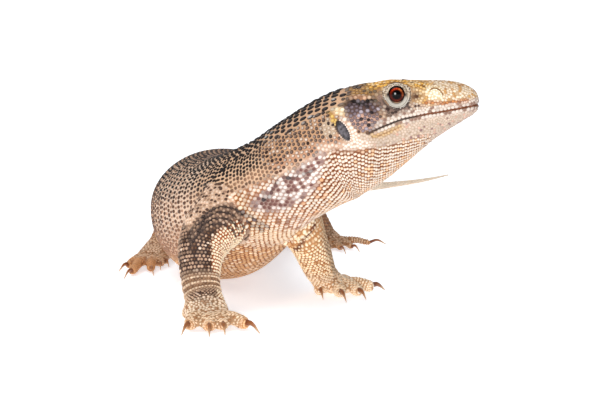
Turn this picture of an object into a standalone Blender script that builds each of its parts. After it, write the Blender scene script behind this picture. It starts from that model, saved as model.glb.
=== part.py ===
# Savannah monitor, Varanus exanthematicus: a small adult at life size, still, in the photo's pose.
# It faces -Y with its trunk bent in a C, and its neck turns so that the head points along +X.
# The flesh is modelled whole, then parted with thin cuts into the nodes that a person would name.
import math

import bmesh
import bpy
from mathutils import Matrix, Vector
from mathutils.bvhtree import BVHTree

MM = 0.001
GAP = 0.3
CELL = 1.15
FLESH_TRIANGLES = 5400

# Design coordinates are in mm. ORIGIN is the point of them that becomes the row's origin.
ORIGIN = (1.87, -5.445, 0.0)

# Head, in upright sections: x, half width, z of the mouth line, height above it, depth below it.
HEAD_Y = -270.0
HEAD_SECTIONS = [
    (77.3, 2.4, 100.3, 1.4, 1.5),
    (76.0, 5.4, 100.1, 5.4, 3.6),
    (74.5, 7.2, 99.9, 7.2, 4.9),
    (71.5, 9.1, 99.6, 9.5, 6.8),
    (66.5, 11.0, 98.8, 12.0, 9.4),
    (60.5, 12.4, 97.8, 13.4, 12.3),
    (54.5, 13.4, 96.8, 14.4, 15.7),
    (48.5, 14.2, 95.8, 15.5, 19.8),
    (42.5, 15.0, 94.6, 16.8, 23.9),
    (37.5, 15.8, 93.2, 18.2, 26.6),
    (31.5, 17.2, 91.2, 19.0, 28.8),
    (25.5, 18.5, 89.0, 20.6, 30.2),
]
# Neck, trunk and tail: x, y, z of the section's middle, half width, height above and below.
EAR_SECTION = (17.5, -268.0, 85.0, 18.6, 21.2, 28.6)
TRUNK_SECTIONS = [
    (6.5, -263.0, 77.0, 18.2, 22.0, 25.8),
    (-4.0, -255.0, 69.5, 19.0, 22.0, 25.0),
    (-13.0, -243.0, 62.0, 21.0, 22.0, 25.2),
    (-21.0, -226.0, 54.5, 26.0, 23.5, 25.5),
    (-30.0, -203.0, 47.0, 31.0, 24.6, 29.2),
    (-38.0, -175.0, 40.5, 34.5, 26.6, 33.2),
    (-43.0, -143.0, 36.0, 36.2, 29.0, 36.4),
    (-43.5, -112.0, 33.5, 34.6, 29.8, 33.8),
    (-38.0, -78.0, 32.0, 26.5, 26.5, 32.0),
    (-28.5, -43.0, 29.0, 20.5, 24.0, 27.0),
    (-22.0, -14.0, 24.0, 17.5, 20.0, 22.0),
]
TAIL_SECTIONS = [
    (-25.0, 25.0, 16.5, 13.8, 14.8, 16.8),
    (-33.0, 70.0, 13.0, 11.0, 12.4, 13.3),
    (-37.0, 112.0, 10.8, 9.4, 10.7, 11.1),
    (-29.0, 150.0, 8.8, 7.6, 8.8, 9.1),
    (-8.0, 181.0, 6.6, 5.9, 6.8, 6.9),
    (19.0, 204.0, 4.4, 4.0, 4.6, 4.7),
    (44.0, 224.0, 2.9, 2.6, 2.8, 3.1),
    (64.0, 246.0, 2.1, 1.8, 1.8, 2.1),
    (84.0, 271.0, 1.8, 1.2, 1.2, 1.3),
    (101.0, 296.0, 2.2, 0.5, 0.5, 0.5),
]
BODY_ROUND = 2.06
RING = 44
RING_STEP = 3.0

# Each leg runs through x, y, z, half width, half thickness: root in the trunk, joints, sole.
# Each toe has the places on the floor plan of its root, its end and its claw's tip, and the toes
# run from the inner to the outer. The cuts part the leg: at the root, the joint and the ankle.
LEGS = {
    "right_front": {
        "chain": [
            (-20, -220, 50, 15, 15), (-34, -236, 47, 15.5, 15.5), (-43, -247, 41, 13.5, 13.5),
            (-48, -255, 32, 11.4, 11.4), (-48.7, -259, 24, 9.9, 9.9), (-48, -263, 15.5, 9.2, 9.2),
            (-46.5, -267, 9.5, 9.2, 8.4), (-45, -273, 5.6, 10.4, 6.0), (-44, -281, 3.9, 9.6, 4.4),
        ],
        "toes": [
            ((-37.5, -281), (-27, -291), (-20.5, -299)),
            ((-39.5, -283), (-37, -294), (-35.7, -303)),
            ((-44, -284), (-43, -297), (-42.5, -307)),
            ((-49, -282), (-52, -294), (-55, -303.5)),
            ((-50, -273), (-54.5, -265), (-57, -257)),
        ],
        "toe_size": (4.1, 3.3),
        "cuts": [
            ((-41.3, -245.5, 41.4), (-0.5, -0.6, -0.62), 19),
            ((-48.6, -257.5, 27), (-0.1, -0.5, -0.85), 15),
            ((-46.8, -266, 11.5), (0.15, -0.45, -0.88), 15),
        ],
    },
    "left_front": {
        "chain": [
            (-14, -220, 50, 15, 15), (-5, -225, 42, 12.4, 12.4), (0.3, -221, 32, 9.4, 9.8),
            (3.8, -213, 23, 8.6, 8.8), (6.4, -204, 15, 7.8, 8.0), (8.9, -196, 9.5, 7.2, 7.2),
            (12.5, -190, 5.4, 9.0, 5.8), (18, -187, 3.9, 8.2, 4.4),
        ],
        "toes": [
            ((8.5, -195), (6.5, -202.5), (8.3, -211)),
            ((14, -194), (16.5, -208), (19.4, -219)),
            ((19, -192), (25.5, -204), (29, -212)),
            ((21, -188), (32, -191), (39, -183)),
            ((17, -184), (21, -177), (24.5, -170.5)),
        ],
        "toe_size": (4.1, 3.3),
        "cuts": [
            ((0.5, -222, 34), (0.75, 0.1, -0.65), 15),
            ((2.4, -215, 25.5), (0.25, 0.65, -0.72), 14),
            ((8.6, -199.5, 12), (0.3, 0.5, -0.81), 15),
        ],
    },
    "right_hind": {
        "chain": [
            (-36, -34, 27, 14, 14), (-52, -40, 28, 14, 14), (-64, -45, 29, 12.5, 12.5),
            (-70, -50, 27, 10.8, 10.8), (-71, -60, 21, 9.5, 9.5), (-74, -70, 14, 8.6, 8.6),
            (-77, -79, 8.5, 8.0, 7.6), (-80, -89, 5.2, 9.2, 5.4), (-82, -99, 3.9, 9.2, 4.3),
        ],
        "toes": [
            ((-77, -98), (-74.5, -105), (-72.1, -111.5)),
            ((-78.5, -101), (-76.5, -113), (-76.1, -120.5)),
            ((-81.5, -103), (-80.5, -129), (-78.4, -139)),
            ((-85.5, -102), (-89.5, -138), (-92.8, -149)),
            ((-86.5, -97), (-93, -118), (-97.4, -126.5)),
        ],
        "toe_size": (3.5, 2.5),
        "cuts": [
            ((-56, -41, 28), (-1.0, 0.12, 0.0), 18),
            ((-69, -52, 25), (-0.59, -0.69, -0.43), 16),
            ((-77, -78, 9), (-0.2, -0.8, -0.55), 12),
        ],
    },
    "left_hind": {
        "chain": [
            (-16, -34, 27, 13.5, 13.5), (-4, -45, 28.5, 12, 12), (0, -55, 25.5, 9.6, 9.6),
            (2.8, -50, 19.5, 8.2, 8.2), (6.0, -43, 14.5, 7.2, 7.2), (8.5, -35.5, 9.5, 7.0, 7.0),
            (12, -33.5, 5.6, 7.6, 5.6), (17, -34, 3.7, 7.6, 4.2),
        ],
        "toes": [
            ((15, -39), (13.5, -50), (12, -58)),
            ((16, -39.5), (19, -55), (21.9, -65.5)),
            ((19, -38), (25.5, -50), (29.5, -57)),
            ((20, -34.5), (36, -34), (45, -28)),
            ((13, -28), (13.5, -17), (15, -9)),
        ],
        "toe_size": (3.2, 2.0),
        "cuts": [
            ((-7.2, -42, 28.5), (1.0, -0.12, 0.0), 18),
            ((3, -50, 20), (0.74, -0.05, -0.7), 18),
            ((9.4, -35, 8.4), (0.72, 0.2, -0.66), 13),
        ],
    },
}
TOE_ARCH = 1.2
CLAW_HALF_WIDTH, CLAW_HALF_HEIGHT, CLAW_TIP, CLAW_ARCH = 0.34, 0.52, 0.32, 2.0

# Head organs: places as seen on the near side; the far side mirrors them about the head's plane.
EYE_X, EYE_Z, EYE_RADIUS, EYE_DEPTH = 40.3, 105.2, 5.2, 3.9
LID_RADIUS, LID_THICKNESS, LID_SQUASH, LID_SEGMENTS = 5.0, 1.35, 0.9, (16, 6)
EAR_X, EAR_Z, EAR_HALF_LENGTH, EAR_HALF_WIDTH, EAR_HALF_DEPTH = 16.4, 89.6, 4.3, 2.0, 2.4
EAR_SLANT, DRUM_DEPTH = 35.0, 0.9
NOSTRIL_X, NOSTRIL_Z, NOSTRIL_HALF_LENGTH, NOSTRIL_HALF_WIDTH = 58.0, 106.6, 2.8, 0.7
NOSTRIL_SLANT, NOSTRIL_DEPTH = 39.0, 1.9
MOUTH_LINE = [(77.6, 100.2), (68.0, 98.7), (54.0, 96.6), (42.7, 94.4), (32.5, 90.7), (28.0, 88.6)]
MOUTH_FAN_X, MOUTH_OPENING, MOUTH_DEPTH = 66.0, 0.5, 1.3

# Swellings of the head and shoulders: x, distance from the middle plane, z, reach and height.
HEAD_SWELLINGS = [
    (46.0, 9.0, 109.0, 3.2, 1.0), (41.0, 9.5, 110.5, 3.4, 1.5), (35.5, 9.5, 110.0, 3.4, 1.2),
    (57.5, 9.5, 107.0, 4.0, 0.8), (24.0, 17.0, 95.0, 8.0, 1.2), (30.0, 16.0, 84.0, 7.0, 1.0),
    (40.0, 13.0, 98.0, 3.5, 0.7), (52.0, 11.0, 100.5, 3.5, 0.5),
]
SHOULDER_SWELLINGS = [(-42.0, -236.0, 58.0, 9.0, 1.5), (-1.0, -216.0, 60.0, 9.0, 1.5)]

# Nape scutes: raised ovals in staggered rows from the back of the head to the shoulders.
SCUTE_LAST_Y, SCUTE_ROW_STEP, SCUTE_ROOM, SCUTE_ARC, SCUTE_SIDES = -226.0, 2, 8.2, 56.0, 6
SCUTE_HALF_LENGTH, SCUTE_HALF_WIDTH, SCUTE_HEIGHT, SCUTE_SUNK = 2.9, 2.2, 0.9, 0.8
SCUTE_TOP, SCUTE_KEEP_OFF = 0.5, 3.4

# Cuts across the body: a place, the way the cut faces, its half size and the node ahead of it.
BODY_CUTS = [
    ((11.0, -266.0, 82.0), (0.80, -0.28, 0.53), 36.0),
    ((-13.0, -243.0, 62.0), (0.46, -0.79, 0.41), 34.0),
]
TAIL_CUTS = [(0, 22.0), (2, 18.0), (3, 15.0)]
TAIL_LOFT_FROM = 5
FLOOR_SIZE = (500.0, 900.0, 20.0)


def clear_scene():
    for item in list(bpy.data.objects):
        bpy.data.objects.remove(item, do_unlink=True)


def linear(hex_colour):
    """One sRGB hex colour as the linear values that a shader takes."""
    channels = [int(hex_colour[i:i + 2], 16) / 255 for i in (1, 3, 5)]
    return [c / 12.92 if c <= 0.04045 else ((c + 0.055) / 1.055) ** 2.4 for c in channels]


def material(name, hex_colour, roughness):
    made = bpy.data.materials.new(name)
    made.use_nodes = True
    shader = made.node_tree.nodes["Principled BSDF"]
    shader.inputs["Base Color"].default_value = (*linear(hex_colour), 1.0)
    shader.inputs["Roughness"].default_value = roughness
    shader.inputs["Metallic"].default_value = 0.0
    return made


def mesh_object(name, vertices, faces):
    mesh = bpy.data.meshes.new(name)
    mesh.from_pydata([Vector(v) * MM for v in vertices], [], faces)
    made = bpy.data.objects.new(name, mesh)
    bpy.context.scene.collection.objects.link(made)
    outward(made)
    return made


def outward(item):
    mesh = bmesh.new()
    mesh.from_mesh(item.data)
    bmesh.ops.recalc_face_normals(mesh, faces=mesh.faces)
    mesh.to_mesh(item.data)
    mesh.free()


def apply_modifiers(item):
    graph = bpy.context.evaluated_depsgraph_get()
    mesh = bpy.data.meshes.new_from_object(item.evaluated_get(graph))
    item.modifiers.clear()
    item.data = mesh


def boolean(item, cutters, operation, solver="MANIFOLD"):
    """One Boolean of an item with a list of objects, applied, with the objects then removed."""
    group = bpy.data.collections.new("cutters")
    for cutter in cutters:
        group.objects.link(cutter)
    step = item.modifiers.new(operation, "BOOLEAN")
    step.operation = operation
    step.operand_type = "COLLECTION"
    step.collection = group
    step.solver = solver
    apply_modifiers(item)
    for cutter in cutters:
        bpy.data.objects.remove(cutter, do_unlink=True)
    bpy.data.collections.remove(group)


def read_curve(rows, step):
    """Rows of numbers whose first three are a place, read from a smooth curve through them."""
    places = [Vector(row[:3]) for row in rows]
    lengths = [0.0]
    for a, b in zip(places, places[1:]):
        lengths.append(lengths[-1] + (b - a).length)
    slopes = []
    for i in range(len(rows)):
        low, high = max(i - 1, 0), min(i + 1, len(rows) - 1)
        span = lengths[high] - lengths[low]
        slopes.append([(after - before) / span for before, after in zip(rows[low], rows[high])])
    read = []
    for i in range(len(rows) - 1):
        span = lengths[i + 1] - lengths[i]
        count = max(1, round(span / step))
        for k in range(count):
            t = k / count
            start, leave = 2 * t**3 - 3 * t**2 + 1, (t**3 - 2 * t**2 + t) * span
            finish, arrive = 3 * t**2 - 2 * t**3, (t**3 - t**2) * span
            columns = zip(rows[i], rows[i + 1], slopes[i], slopes[i + 1])
            read.append([start * p + finish * q + leave * sp + arrive * sq for p, q, sp, sq in columns])
    read.append(list(rows[-1]))
    return read


def way_along(rows, i):
    return (Vector(rows[min(i + 1, len(rows) - 1)][:3]) - Vector(rows[max(i - 1, 0)][:3])).normalized()


def section_frame(rows, i):
    """A section's middle, side and up. A lean of 0 keeps it upright, 1 sets it square to the path."""
    along = way_along(rows, i)
    lean = rows[i][6] if len(rows[i]) > 6 else 1.0
    side = along.cross(Vector((0, 0, 1))).normalized()
    up = (Vector((0, 0, 1)) - along * (along.z * lean)).normalized()
    return Vector(rows[i][:3]), side, up


def loft(name, rows, round_power, ring):
    """A closed skin over rows of x, y, z, half width, height above, depth below and lean."""
    vertices, faces = [], []
    for i, row in enumerate(rows):
        middle, side, up = section_frame(rows, i)
        for k in range(ring):
            turn = 2 * math.pi * k / ring
            across, rise = math.cos(turn), math.sin(turn)
            across = math.copysign(abs(across) ** (2 / round_power), across) * row[3]
            rise = math.copysign(abs(rise) ** (2 / round_power), rise) * (row[4] if rise > 0 else row[5])
            vertices.append(middle + side * across + up * rise)
    for i in range(len(rows) - 1):
        for k in range(ring):
            a, b = i * ring + k, i * ring + (k + 1) % ring
            faces.append((a, b, b + ring, a + ring))
    faces.append(tuple(range(ring)))
    faces.append(tuple(range((len(rows) - 1) * ring, len(rows) * ring)))
    return mesh_object(name, vertices, faces)


def solid(name, middle, frame, create, **shape):
    """One of Blender's own solids, stretched and turned by a frame and set at a place in mm."""
    made = mesh_object(name, [], [])
    mesh = bmesh.new()
    create(mesh, **shape)
    for vertex in mesh.verts:
        vertex.co = (frame @ vertex.co + Vector(middle)) * MM
    mesh.to_mesh(made.data)
    mesh.free()
    return made


def slab(name, middle, facing, half_size):
    """A thin square plate, as thick as the gap between nodes, that faces the way given."""
    turn = Vector(facing).to_track_quat("X", "Z").to_matrix()
    frame = turn @ Matrix.Diagonal(Vector((GAP, 2 * half_size, 2 * half_size)))
    return solid(name, middle, frame, bmesh.ops.create_cube, size=1.0)


def ball(name, middle, half, turn=0.0, segments=20, rings=12):
    """A ball stretched to its half sizes and turned about Y by degrees."""
    frame = Matrix.Rotation(math.radians(turn), 3, "Y") @ Matrix.Diagonal(Vector(half))
    return solid(name, middle, frame, bmesh.ops.create_uvsphere,
                 u_segments=segments, v_segments=rings, radius=1.0)


def body_rows():
    head = [(x, HEAD_Y, z, wide, above, below, 0.0) for x, wide, z, above, below in HEAD_SECTIONS]
    trunk = [(*row, 1.0) for row in TRUNK_SECTIONS + TAIL_SECTIONS]
    return read_curve(head + [(*EAR_SECTION, 0.5)] + trunk, RING_STEP)


def row_at(rows, place):
    """The number of the row that comes nearest to a place."""
    return min(range(len(rows)), key=lambda i: (Vector(rows[i][:3]) - Vector(place[:3])).length)


def leg_solids(name, leg):
    chain = [(x, y, z, wide, thick, thick) for x, y, z, wide, thick in leg["chain"]]
    solids = [loft(name, read_curve(chain, 3.0), 2.1, 20)]
    root_size, end_size = leg["toe_size"]
    for number, (root, end, tip) in enumerate(leg["toes"], 1):
        start, finish = Vector((*root, root_size)), Vector((*end, end_size))
        middle = (start + finish) / 2 + Vector((0, 0, TOE_ARCH))
        blunt = finish + (finish - start).normalized() * end_size * 0.5
        sizes = (root_size, (root_size + end_size) / 2 - 0.2, end_size, end_size * 0.6)
        rows = [(*p, s, s, s) for p, s in zip((start, middle, finish, blunt), sizes)]
        solids.append(loft(f"{name}_toe_{number}", read_curve(rows, 2.0), 2.0, 12))
    return solids


def claw(name, toe, toe_size, extra=0.0):
    """A curved horn from inside the toe's end down to its tip. Extra grows it for its socket."""
    size = toe_size[1]
    root, end = Vector((*toe[0], size)), Vector((*toe[1], size))
    tip = Vector((*toe[2], CLAW_TIP + 0.45))
    start = end + (end - root).normalized() * (0.1 - extra) + Vector((0, 0, size * 0.2))
    crown = end + (tip - end) * 0.45 + Vector((0, 0, CLAW_ARCH))
    wide, high = size * CLAW_HALF_WIDTH, size * CLAW_HALF_HEIGHT
    rows = [
        (*start, wide + extra, high + extra, high + extra),
        (*crown, wide * 0.8 + extra, high * 0.72 + extra, high * 0.72 + extra),
        (*tip, CLAW_TIP + extra, CLAW_TIP + extra, CLAW_TIP + extra),
    ]
    return loft(name, read_curve(rows, 2.8), 2.0, 6)


def flesh():
    """Head, trunk, tail, legs and toes as one smooth closed skin."""
    rows = body_rows()
    rows = rows[:row_at(rows, TAIL_SECTIONS[TAIL_LOFT_FROM]) + 5]
    body = loft("flesh", rows, BODY_ROUND, RING)
    boolean(body, [solid for name, leg in LEGS.items() for solid in leg_solids(name, leg)], "UNION")
    remesh = body.modifiers.new("cells", "REMESH")
    remesh.mode = "VOXEL"
    remesh.voxel_size = CELL * MM
    smooth = body.modifiers.new("smooth", "SMOOTH")
    smooth.factor = 0.5
    smooth.iterations = 4
    apply_modifiers(body)
    swell(body)
    thin = body.modifiers.new("thin", "DECIMATE")
    thin.ratio = FLESH_TRIANGLES / (2 * len(body.data.polygons))
    apply_modifiers(body)
    return body


def swell(body):
    """Raises the brow ridges, the rims of the nostrils, the jaw muscles and the shoulder blades."""
    spots = [(Vector((x, HEAD_Y + side * off, z)), reach, height)
             for x, off, z, reach, height in HEAD_SWELLINGS for side in (-1, 1)]
    spots += [(Vector(spot[:3]), spot[3], spot[4]) for spot in SHOULDER_SWELLINGS]
    normals = [vertex.normal.copy() for vertex in body.data.vertices]
    for vertex, normal in zip(body.data.vertices, normals):
        place = vertex.co / MM
        raised = 0.0
        for middle, reach, height in spots:
            apart = (place - middle).length / reach
            if apart < 2.5:
                raised += height * math.exp(-apart * apart)
        vertex.co += normal * raised * MM


def hit(tree, start, way):
    """Where a ray from a place in mm meets the skin, and the way the skin faces there."""
    place, facing, _, _ = tree.ray_cast(Vector(start) * MM, Vector(way))
    return place / MM, facing


def tree_of(item):
    mesh = bmesh.new()
    mesh.from_mesh(item.data)
    tree = BVHTree.FromBMesh(mesh)
    mesh.free()
    return tree


def scutes(tree):
    """Low oval domes set in staggered rows on the nape, along the path of the neck."""
    rows = body_rows()
    first = row_at(rows, EAR_SECTION)
    made = []
    for line, i in enumerate(range(first, len(rows), SCUTE_ROW_STEP)):
        middle, side, up = section_frame(rows, i)
        if middle.y > SCUTE_LAST_Y:
            break
        half_arc = math.radians(SCUTE_ARC)
        count = int(2 * half_arc * rows[i][4] / SCUTE_ROOM)
        for k in range(count + line % 2):
            turn = half_arc * (2 * (k + 0.5 - 0.5 * (line % 2)) / count - 1)
            way = up * math.cos(turn) + side * math.sin(turn)
            place, facing = hit(tree, middle + way * 60, -way)
            if all(abs((place - Vector(p)).dot(Vector(f).normalized())) > SCUTE_KEEP_OFF
                   for p, f, _ in BODY_CUTS):
                made.append(scute(place, facing, way_along(rows, i)))
    return made


def scute(place, facing, along):
    """One scute: a low six-sided plate with sloped sides, longer along the neck than across."""
    length = (along - facing * along.dot(facing)).normalized()
    across = facing.cross(length)
    thick = SCUTE_HEIGHT + SCUTE_SUNK
    frame = Matrix((length * SCUTE_HALF_LENGTH, across * SCUTE_HALF_WIDTH, facing * thick)).transposed()
    middle = place + facing * (thick / 2 - SCUTE_SUNK)
    return solid("scute", middle, frame, bmesh.ops.create_cone, cap_ends=True,
                 segments=SCUTE_SIDES, radius1=1.0, radius2=SCUTE_TOP, depth=1.0)


def lid_ring(name, middle):
    """The swollen rim of the lids, a ring that stands in the skin around the eye."""
    bpy.ops.mesh.primitive_torus_add(
        major_segments=LID_SEGMENTS[0], minor_segments=LID_SEGMENTS[1],
        major_radius=LID_RADIUS * MM, minor_radius=LID_THICKNESS * MM)
    ring = bpy.context.object
    ring.name = name
    stand = Matrix.Rotation(math.radians(90), 4, "X")
    ring.data.transform(Matrix.Translation(middle * MM) @ Matrix.Diagonal((1, 1, LID_SQUASH, 1)) @ stand)
    return ring


def head_organs(tree):
    """Where the eyes, ears and nostrils meet the skin, for both sides of the head."""
    organs = []
    for side_name, side in (("right", -1), ("left", 1)):
        found = {"name": side_name, "side": side}
        for organ, x, z in (("eye", EYE_X, EYE_Z), ("ear", EAR_X, EAR_Z), ("nostril", NOSTRIL_X, NOSTRIL_Z)):
            found[organ], found[organ + "_facing"] = hit(tree, (x, HEAD_Y + side * 60, z), (0, -side, 0))
        organs.append(found)
    return organs


def mouth_cutter(tree):
    """A thin wedge that runs round the snout from one corner of the mouth to the other."""
    def height(x):
        for (x1, z1), (x2, z2) in zip(MOUTH_LINE, MOUTH_LINE[1:]):
            if x >= x2:
                return z2 + (z1 - z2) * (x - x2) / (x1 - x2)
        return MOUTH_LINE[-1][1]

    corner = MOUTH_LINE[-1][0]
    count = 8
    side_xs = [corner + (MOUTH_FAN_X - corner) * k / count for k in range(count)]
    rays = [((x, HEAD_Y - 60, height(x)), (0, 1, 0)) for x in side_xs]
    for k in range(9):
        turn = math.radians(-80 + 20 * k)
        way = Vector((math.cos(turn), math.sin(turn), 0))
        x = MOUTH_FAN_X + 11.0 * math.cos(turn)
        rays.append((Vector((MOUTH_FAN_X, HEAD_Y, height(x))) + way * 60, -way))
    rays += [((x, HEAD_Y + 60, height(x)), (0, -1, 0)) for x in reversed(side_xs)]
    vertices, faces = [], []
    for start, way in rays:
        place, _ = hit(tree, start, way)
        inward = Vector(way)
        lift = Vector((0, 0, MOUTH_OPENING))
        vertices += [place - inward + lift, place - inward - lift, place + inward * MOUTH_DEPTH]
    for i in range(len(rays) - 1):
        for k in range(3):
            a, b = 3 * i + k, 3 * i + (k + 1) % 3
            faces.append((a, b, b + 3, a + 3))
    last = 3 * (len(rays) - 1)
    faces += [(0, 1, 2), (last, last + 1, last + 2)]
    return mesh_object("mouth", vertices, faces)


def shape_head(body):
    """Lids, sockets, ear cups, nostrils and the line of the mouth, and the eyes and eardrums."""
    tree = tree_of(body)
    organs = head_organs(tree)
    rims = [lid_ring(f"lid_{organ['name']}", organ["eye"]) for organ in organs]
    boolean(body, rims + scutes(tree), "UNION")
    cutters = [mouth_cutter(tree)]
    parts = []
    for organ in organs:
        name, side = organ["name"], organ["side"]
        eye_middle = organ["eye"] - Vector((0, side * EYE_DEPTH, 0))
        grown = EYE_RADIUS + GAP
        cutters.append(ball("socket", eye_middle, (grown, grown, grown), 0, 16, 10))
        parts.append(ball(f"{name}_eye", eye_middle, (EYE_RADIUS, EYE_RADIUS, EYE_RADIUS), 0, 16, 10))
        ear = (EAR_HALF_WIDTH, EAR_HALF_DEPTH, EAR_HALF_LENGTH)
        cutters.append(ball("cup", organ["ear"], ear, -EAR_SLANT))
        parts.append(eardrum(f"{name}_ear", organ["ear"], [half - GAP for half in ear], side))
        slit = (NOSTRIL_HALF_LENGTH, NOSTRIL_DEPTH, NOSTRIL_HALF_WIDTH)
        cutters.append(ball("slit", organ["nostril"], slit, NOSTRIL_SLANT, 12, 8))
    boolean(body, cutters, "DIFFERENCE")
    return parts


def eardrum(name, middle, half, side):
    """The drum lies in the bottom of the ear's cup, flat on its outer side."""
    made = ball(name, middle, half, -EAR_SLANT, 14, 8)
    level = middle.y - side * DRUM_DEPTH
    for vertex in made.data.vertices:
        depth = (vertex.co.y / MM - level) * side
        if depth > 0:
            vertex.co.y = (level + side * 0.02 * depth) * MM
    return made


def keep_above_floor(item):
    """Presses the small flats that it rests on, where the belly, soles and tail meet the floor."""
    below = (0.0, 0.0, -FLOOR_SIZE[2] / 2)
    floor = solid("floor", below, Matrix.Diagonal(Vector(FLOOR_SIZE)), bmesh.ops.create_cube, size=1.0)
    boolean(item, [floor], "DIFFERENCE")


def tail_tip(rows):
    """The last length of the tail, too thin for the cells that blend the rest."""
    start = row_at(rows, TAIL_SECTIONS[TAIL_LOFT_FROM])
    own = [list(row) for row in rows[start:]]
    step = way_along(rows, start) * (GAP / 2)
    for axis in range(3):
        own[0][axis] += step[axis]
    tip = loft("tail_tip", own[:1] + own[1::3] + own[-1:], BODY_ROUND, 12)
    keep_above_floor(tip)
    return tip


def part_flesh(body, rows):
    """Thin cuts at the joints, then each piece takes the name of the place that it holds."""
    plates = [slab("cut", *cut) for cut in BODY_CUTS]
    for section, half_size in TAIL_CUTS + [(TAIL_LOFT_FROM, 10.0)]:
        place = row_at(rows, TAIL_SECTIONS[section])
        plates.append(slab("cut", rows[place][:3], way_along(rows, place), half_size))
    for leg in LEGS.values():
        plates += [slab("cut", *cut) for cut in leg["cuts"]]
    boolean(body, plates, "DIFFERENCE")
    inside = {
        "head": (50, HEAD_Y, 97), "neck": TRUNK_SECTIONS[1][:3], "torso": TRUNK_SECTIONS[6][:3],
        "tail_base": TAIL_SECTIONS[1][:3], "tail_middle": (-34, 132, 9.5), "tail_end": TAIL_SECTIONS[4][:3],
    }
    for name, leg in LEGS.items():
        chain, cuts = leg["chain"], [Vector(cut[0]) for cut in leg["cuts"]]
        inside[f"{name}_upper"] = cuts[0] * 0.5 + cuts[1] * 0.5
        inside[f"{name}_lower"] = cuts[1] * 0.5 + cuts[2] * 0.5
        inside[f"{name}_foot"] = chain[-1][:3]
    return take_pieces(body, inside)


def take_pieces(body, inside):
    bpy.context.view_layer.objects.active = body
    body.select_set(True)
    bpy.ops.mesh.separate(type="LOOSE")
    pieces = [item for item in bpy.context.selected_objects]
    trees = [(piece, tree_of(piece)) for piece in pieces]
    named = []
    for name, place in inside.items():
        reach = []
        for piece, tree in trees:
            struck = tree.ray_cast(Vector(place) * MM, Vector((0, 0, 1)))
            if struck[0] is not None:
                reach.append((struck[3], piece))
        piece = min(reach, key=lambda found: found[0])[1]
        if piece in named:
            raise ValueError(f"{name} is in the same piece as {piece.name}")
        piece.name = piece.data.name = name
        named.append(piece)
    for piece in pieces:
        if piece not in named:
            bpy.data.objects.remove(piece, do_unlink=True)
    return named


def main():
    clear_scene()
    skin = material("scaled_skin", "#A98863", 0.6)
    horn = material("claw_horn", "#6E4426", 0.35)
    cornea = material("eye", "#7A2E14", 0.08)
    drum = material("eardrum_skin", "#4B3B36", 0.5)
    rows = body_rows()
    body = flesh()
    organs = shape_head(body)
    claws = [(f"{name}_claw_{n}", toe, leg["toe_size"])
             for name, leg in LEGS.items() for n, toe in enumerate(leg["toes"], 1)]
    boolean(body, [claw("socket", toe, size, GAP) for _, toe, size in claws], "DIFFERENCE")
    keep_above_floor(body)
    nodes = part_flesh(body, rows)
    nodes.append(tail_tip(rows))
    for node in nodes:
        node.data.materials.append(skin)
    for name, toe, size in claws:
        node = claw(name, toe, size)
        node.data.materials.append(horn)
        nodes.append(node)
    for node in organs:
        node.data.materials.append(cornea if "eye" in node.name else drum)
        nodes.append(node)
    animal = bpy.data.collections.new("savannah_monitor")
    bpy.context.scene.collection.children.link(animal)
    for node in nodes:
        node.data.shade_smooth()
        node.data.transform(Matrix.Translation(Vector(ORIGIN) * -MM))
        bpy.context.scene.collection.objects.unlink(node)
        animal.objects.link(node)


main()
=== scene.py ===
# A savannah monitor, life size and still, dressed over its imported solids.
import math

import bmesh
import bpy
import numpy as np
from mathutils import Matrix, Vector
from mathutils.bvhtree import BVHTree
from mathutils.kdtree import KDTree


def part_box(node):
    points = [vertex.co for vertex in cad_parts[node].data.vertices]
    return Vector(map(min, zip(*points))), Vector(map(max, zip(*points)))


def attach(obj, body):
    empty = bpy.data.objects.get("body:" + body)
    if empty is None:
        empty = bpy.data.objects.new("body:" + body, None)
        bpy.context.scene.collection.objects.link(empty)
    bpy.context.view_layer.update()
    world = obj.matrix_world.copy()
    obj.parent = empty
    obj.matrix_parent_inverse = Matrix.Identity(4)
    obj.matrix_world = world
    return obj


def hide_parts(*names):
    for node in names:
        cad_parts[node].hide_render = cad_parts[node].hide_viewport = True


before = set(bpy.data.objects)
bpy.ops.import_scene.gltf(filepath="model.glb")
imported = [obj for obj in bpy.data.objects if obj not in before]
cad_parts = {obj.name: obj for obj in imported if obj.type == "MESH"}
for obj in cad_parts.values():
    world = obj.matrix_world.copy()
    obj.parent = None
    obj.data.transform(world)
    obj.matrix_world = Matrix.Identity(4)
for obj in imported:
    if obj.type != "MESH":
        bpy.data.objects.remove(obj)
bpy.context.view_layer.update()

# The studio
# A pale room with one broad light over the animal and one behind it. A small soft box stands beside
# the camera, which is 1.26 m off and a hand's breadth above the head.
scene = bpy.context.scene
scene.view_settings.view_transform = "Standard"


def set_up(name, data, place=(0, 0, 0), towards=None):
    """Puts a thing in the scene at a place in metres, turned to face a way."""
    made = bpy.data.objects.new(name, data)
    made.location = place
    if towards:
        made.rotation_euler = Vector(towards).to_track_quat("-Z", "Y").to_euler()
    scene.collection.objects.link(made)
    return made


camera_data = bpy.data.cameras.new("camera")
camera_data.sensor_width, camera_data.lens = 36.0, 130.94
scene.camera = set_up("camera", camera_data, (-0.00187, -1.264555, 0.184))
scene.camera.rotation_euler = (math.radians(90.0 - 7.372), 0.0, 0.0)

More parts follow.
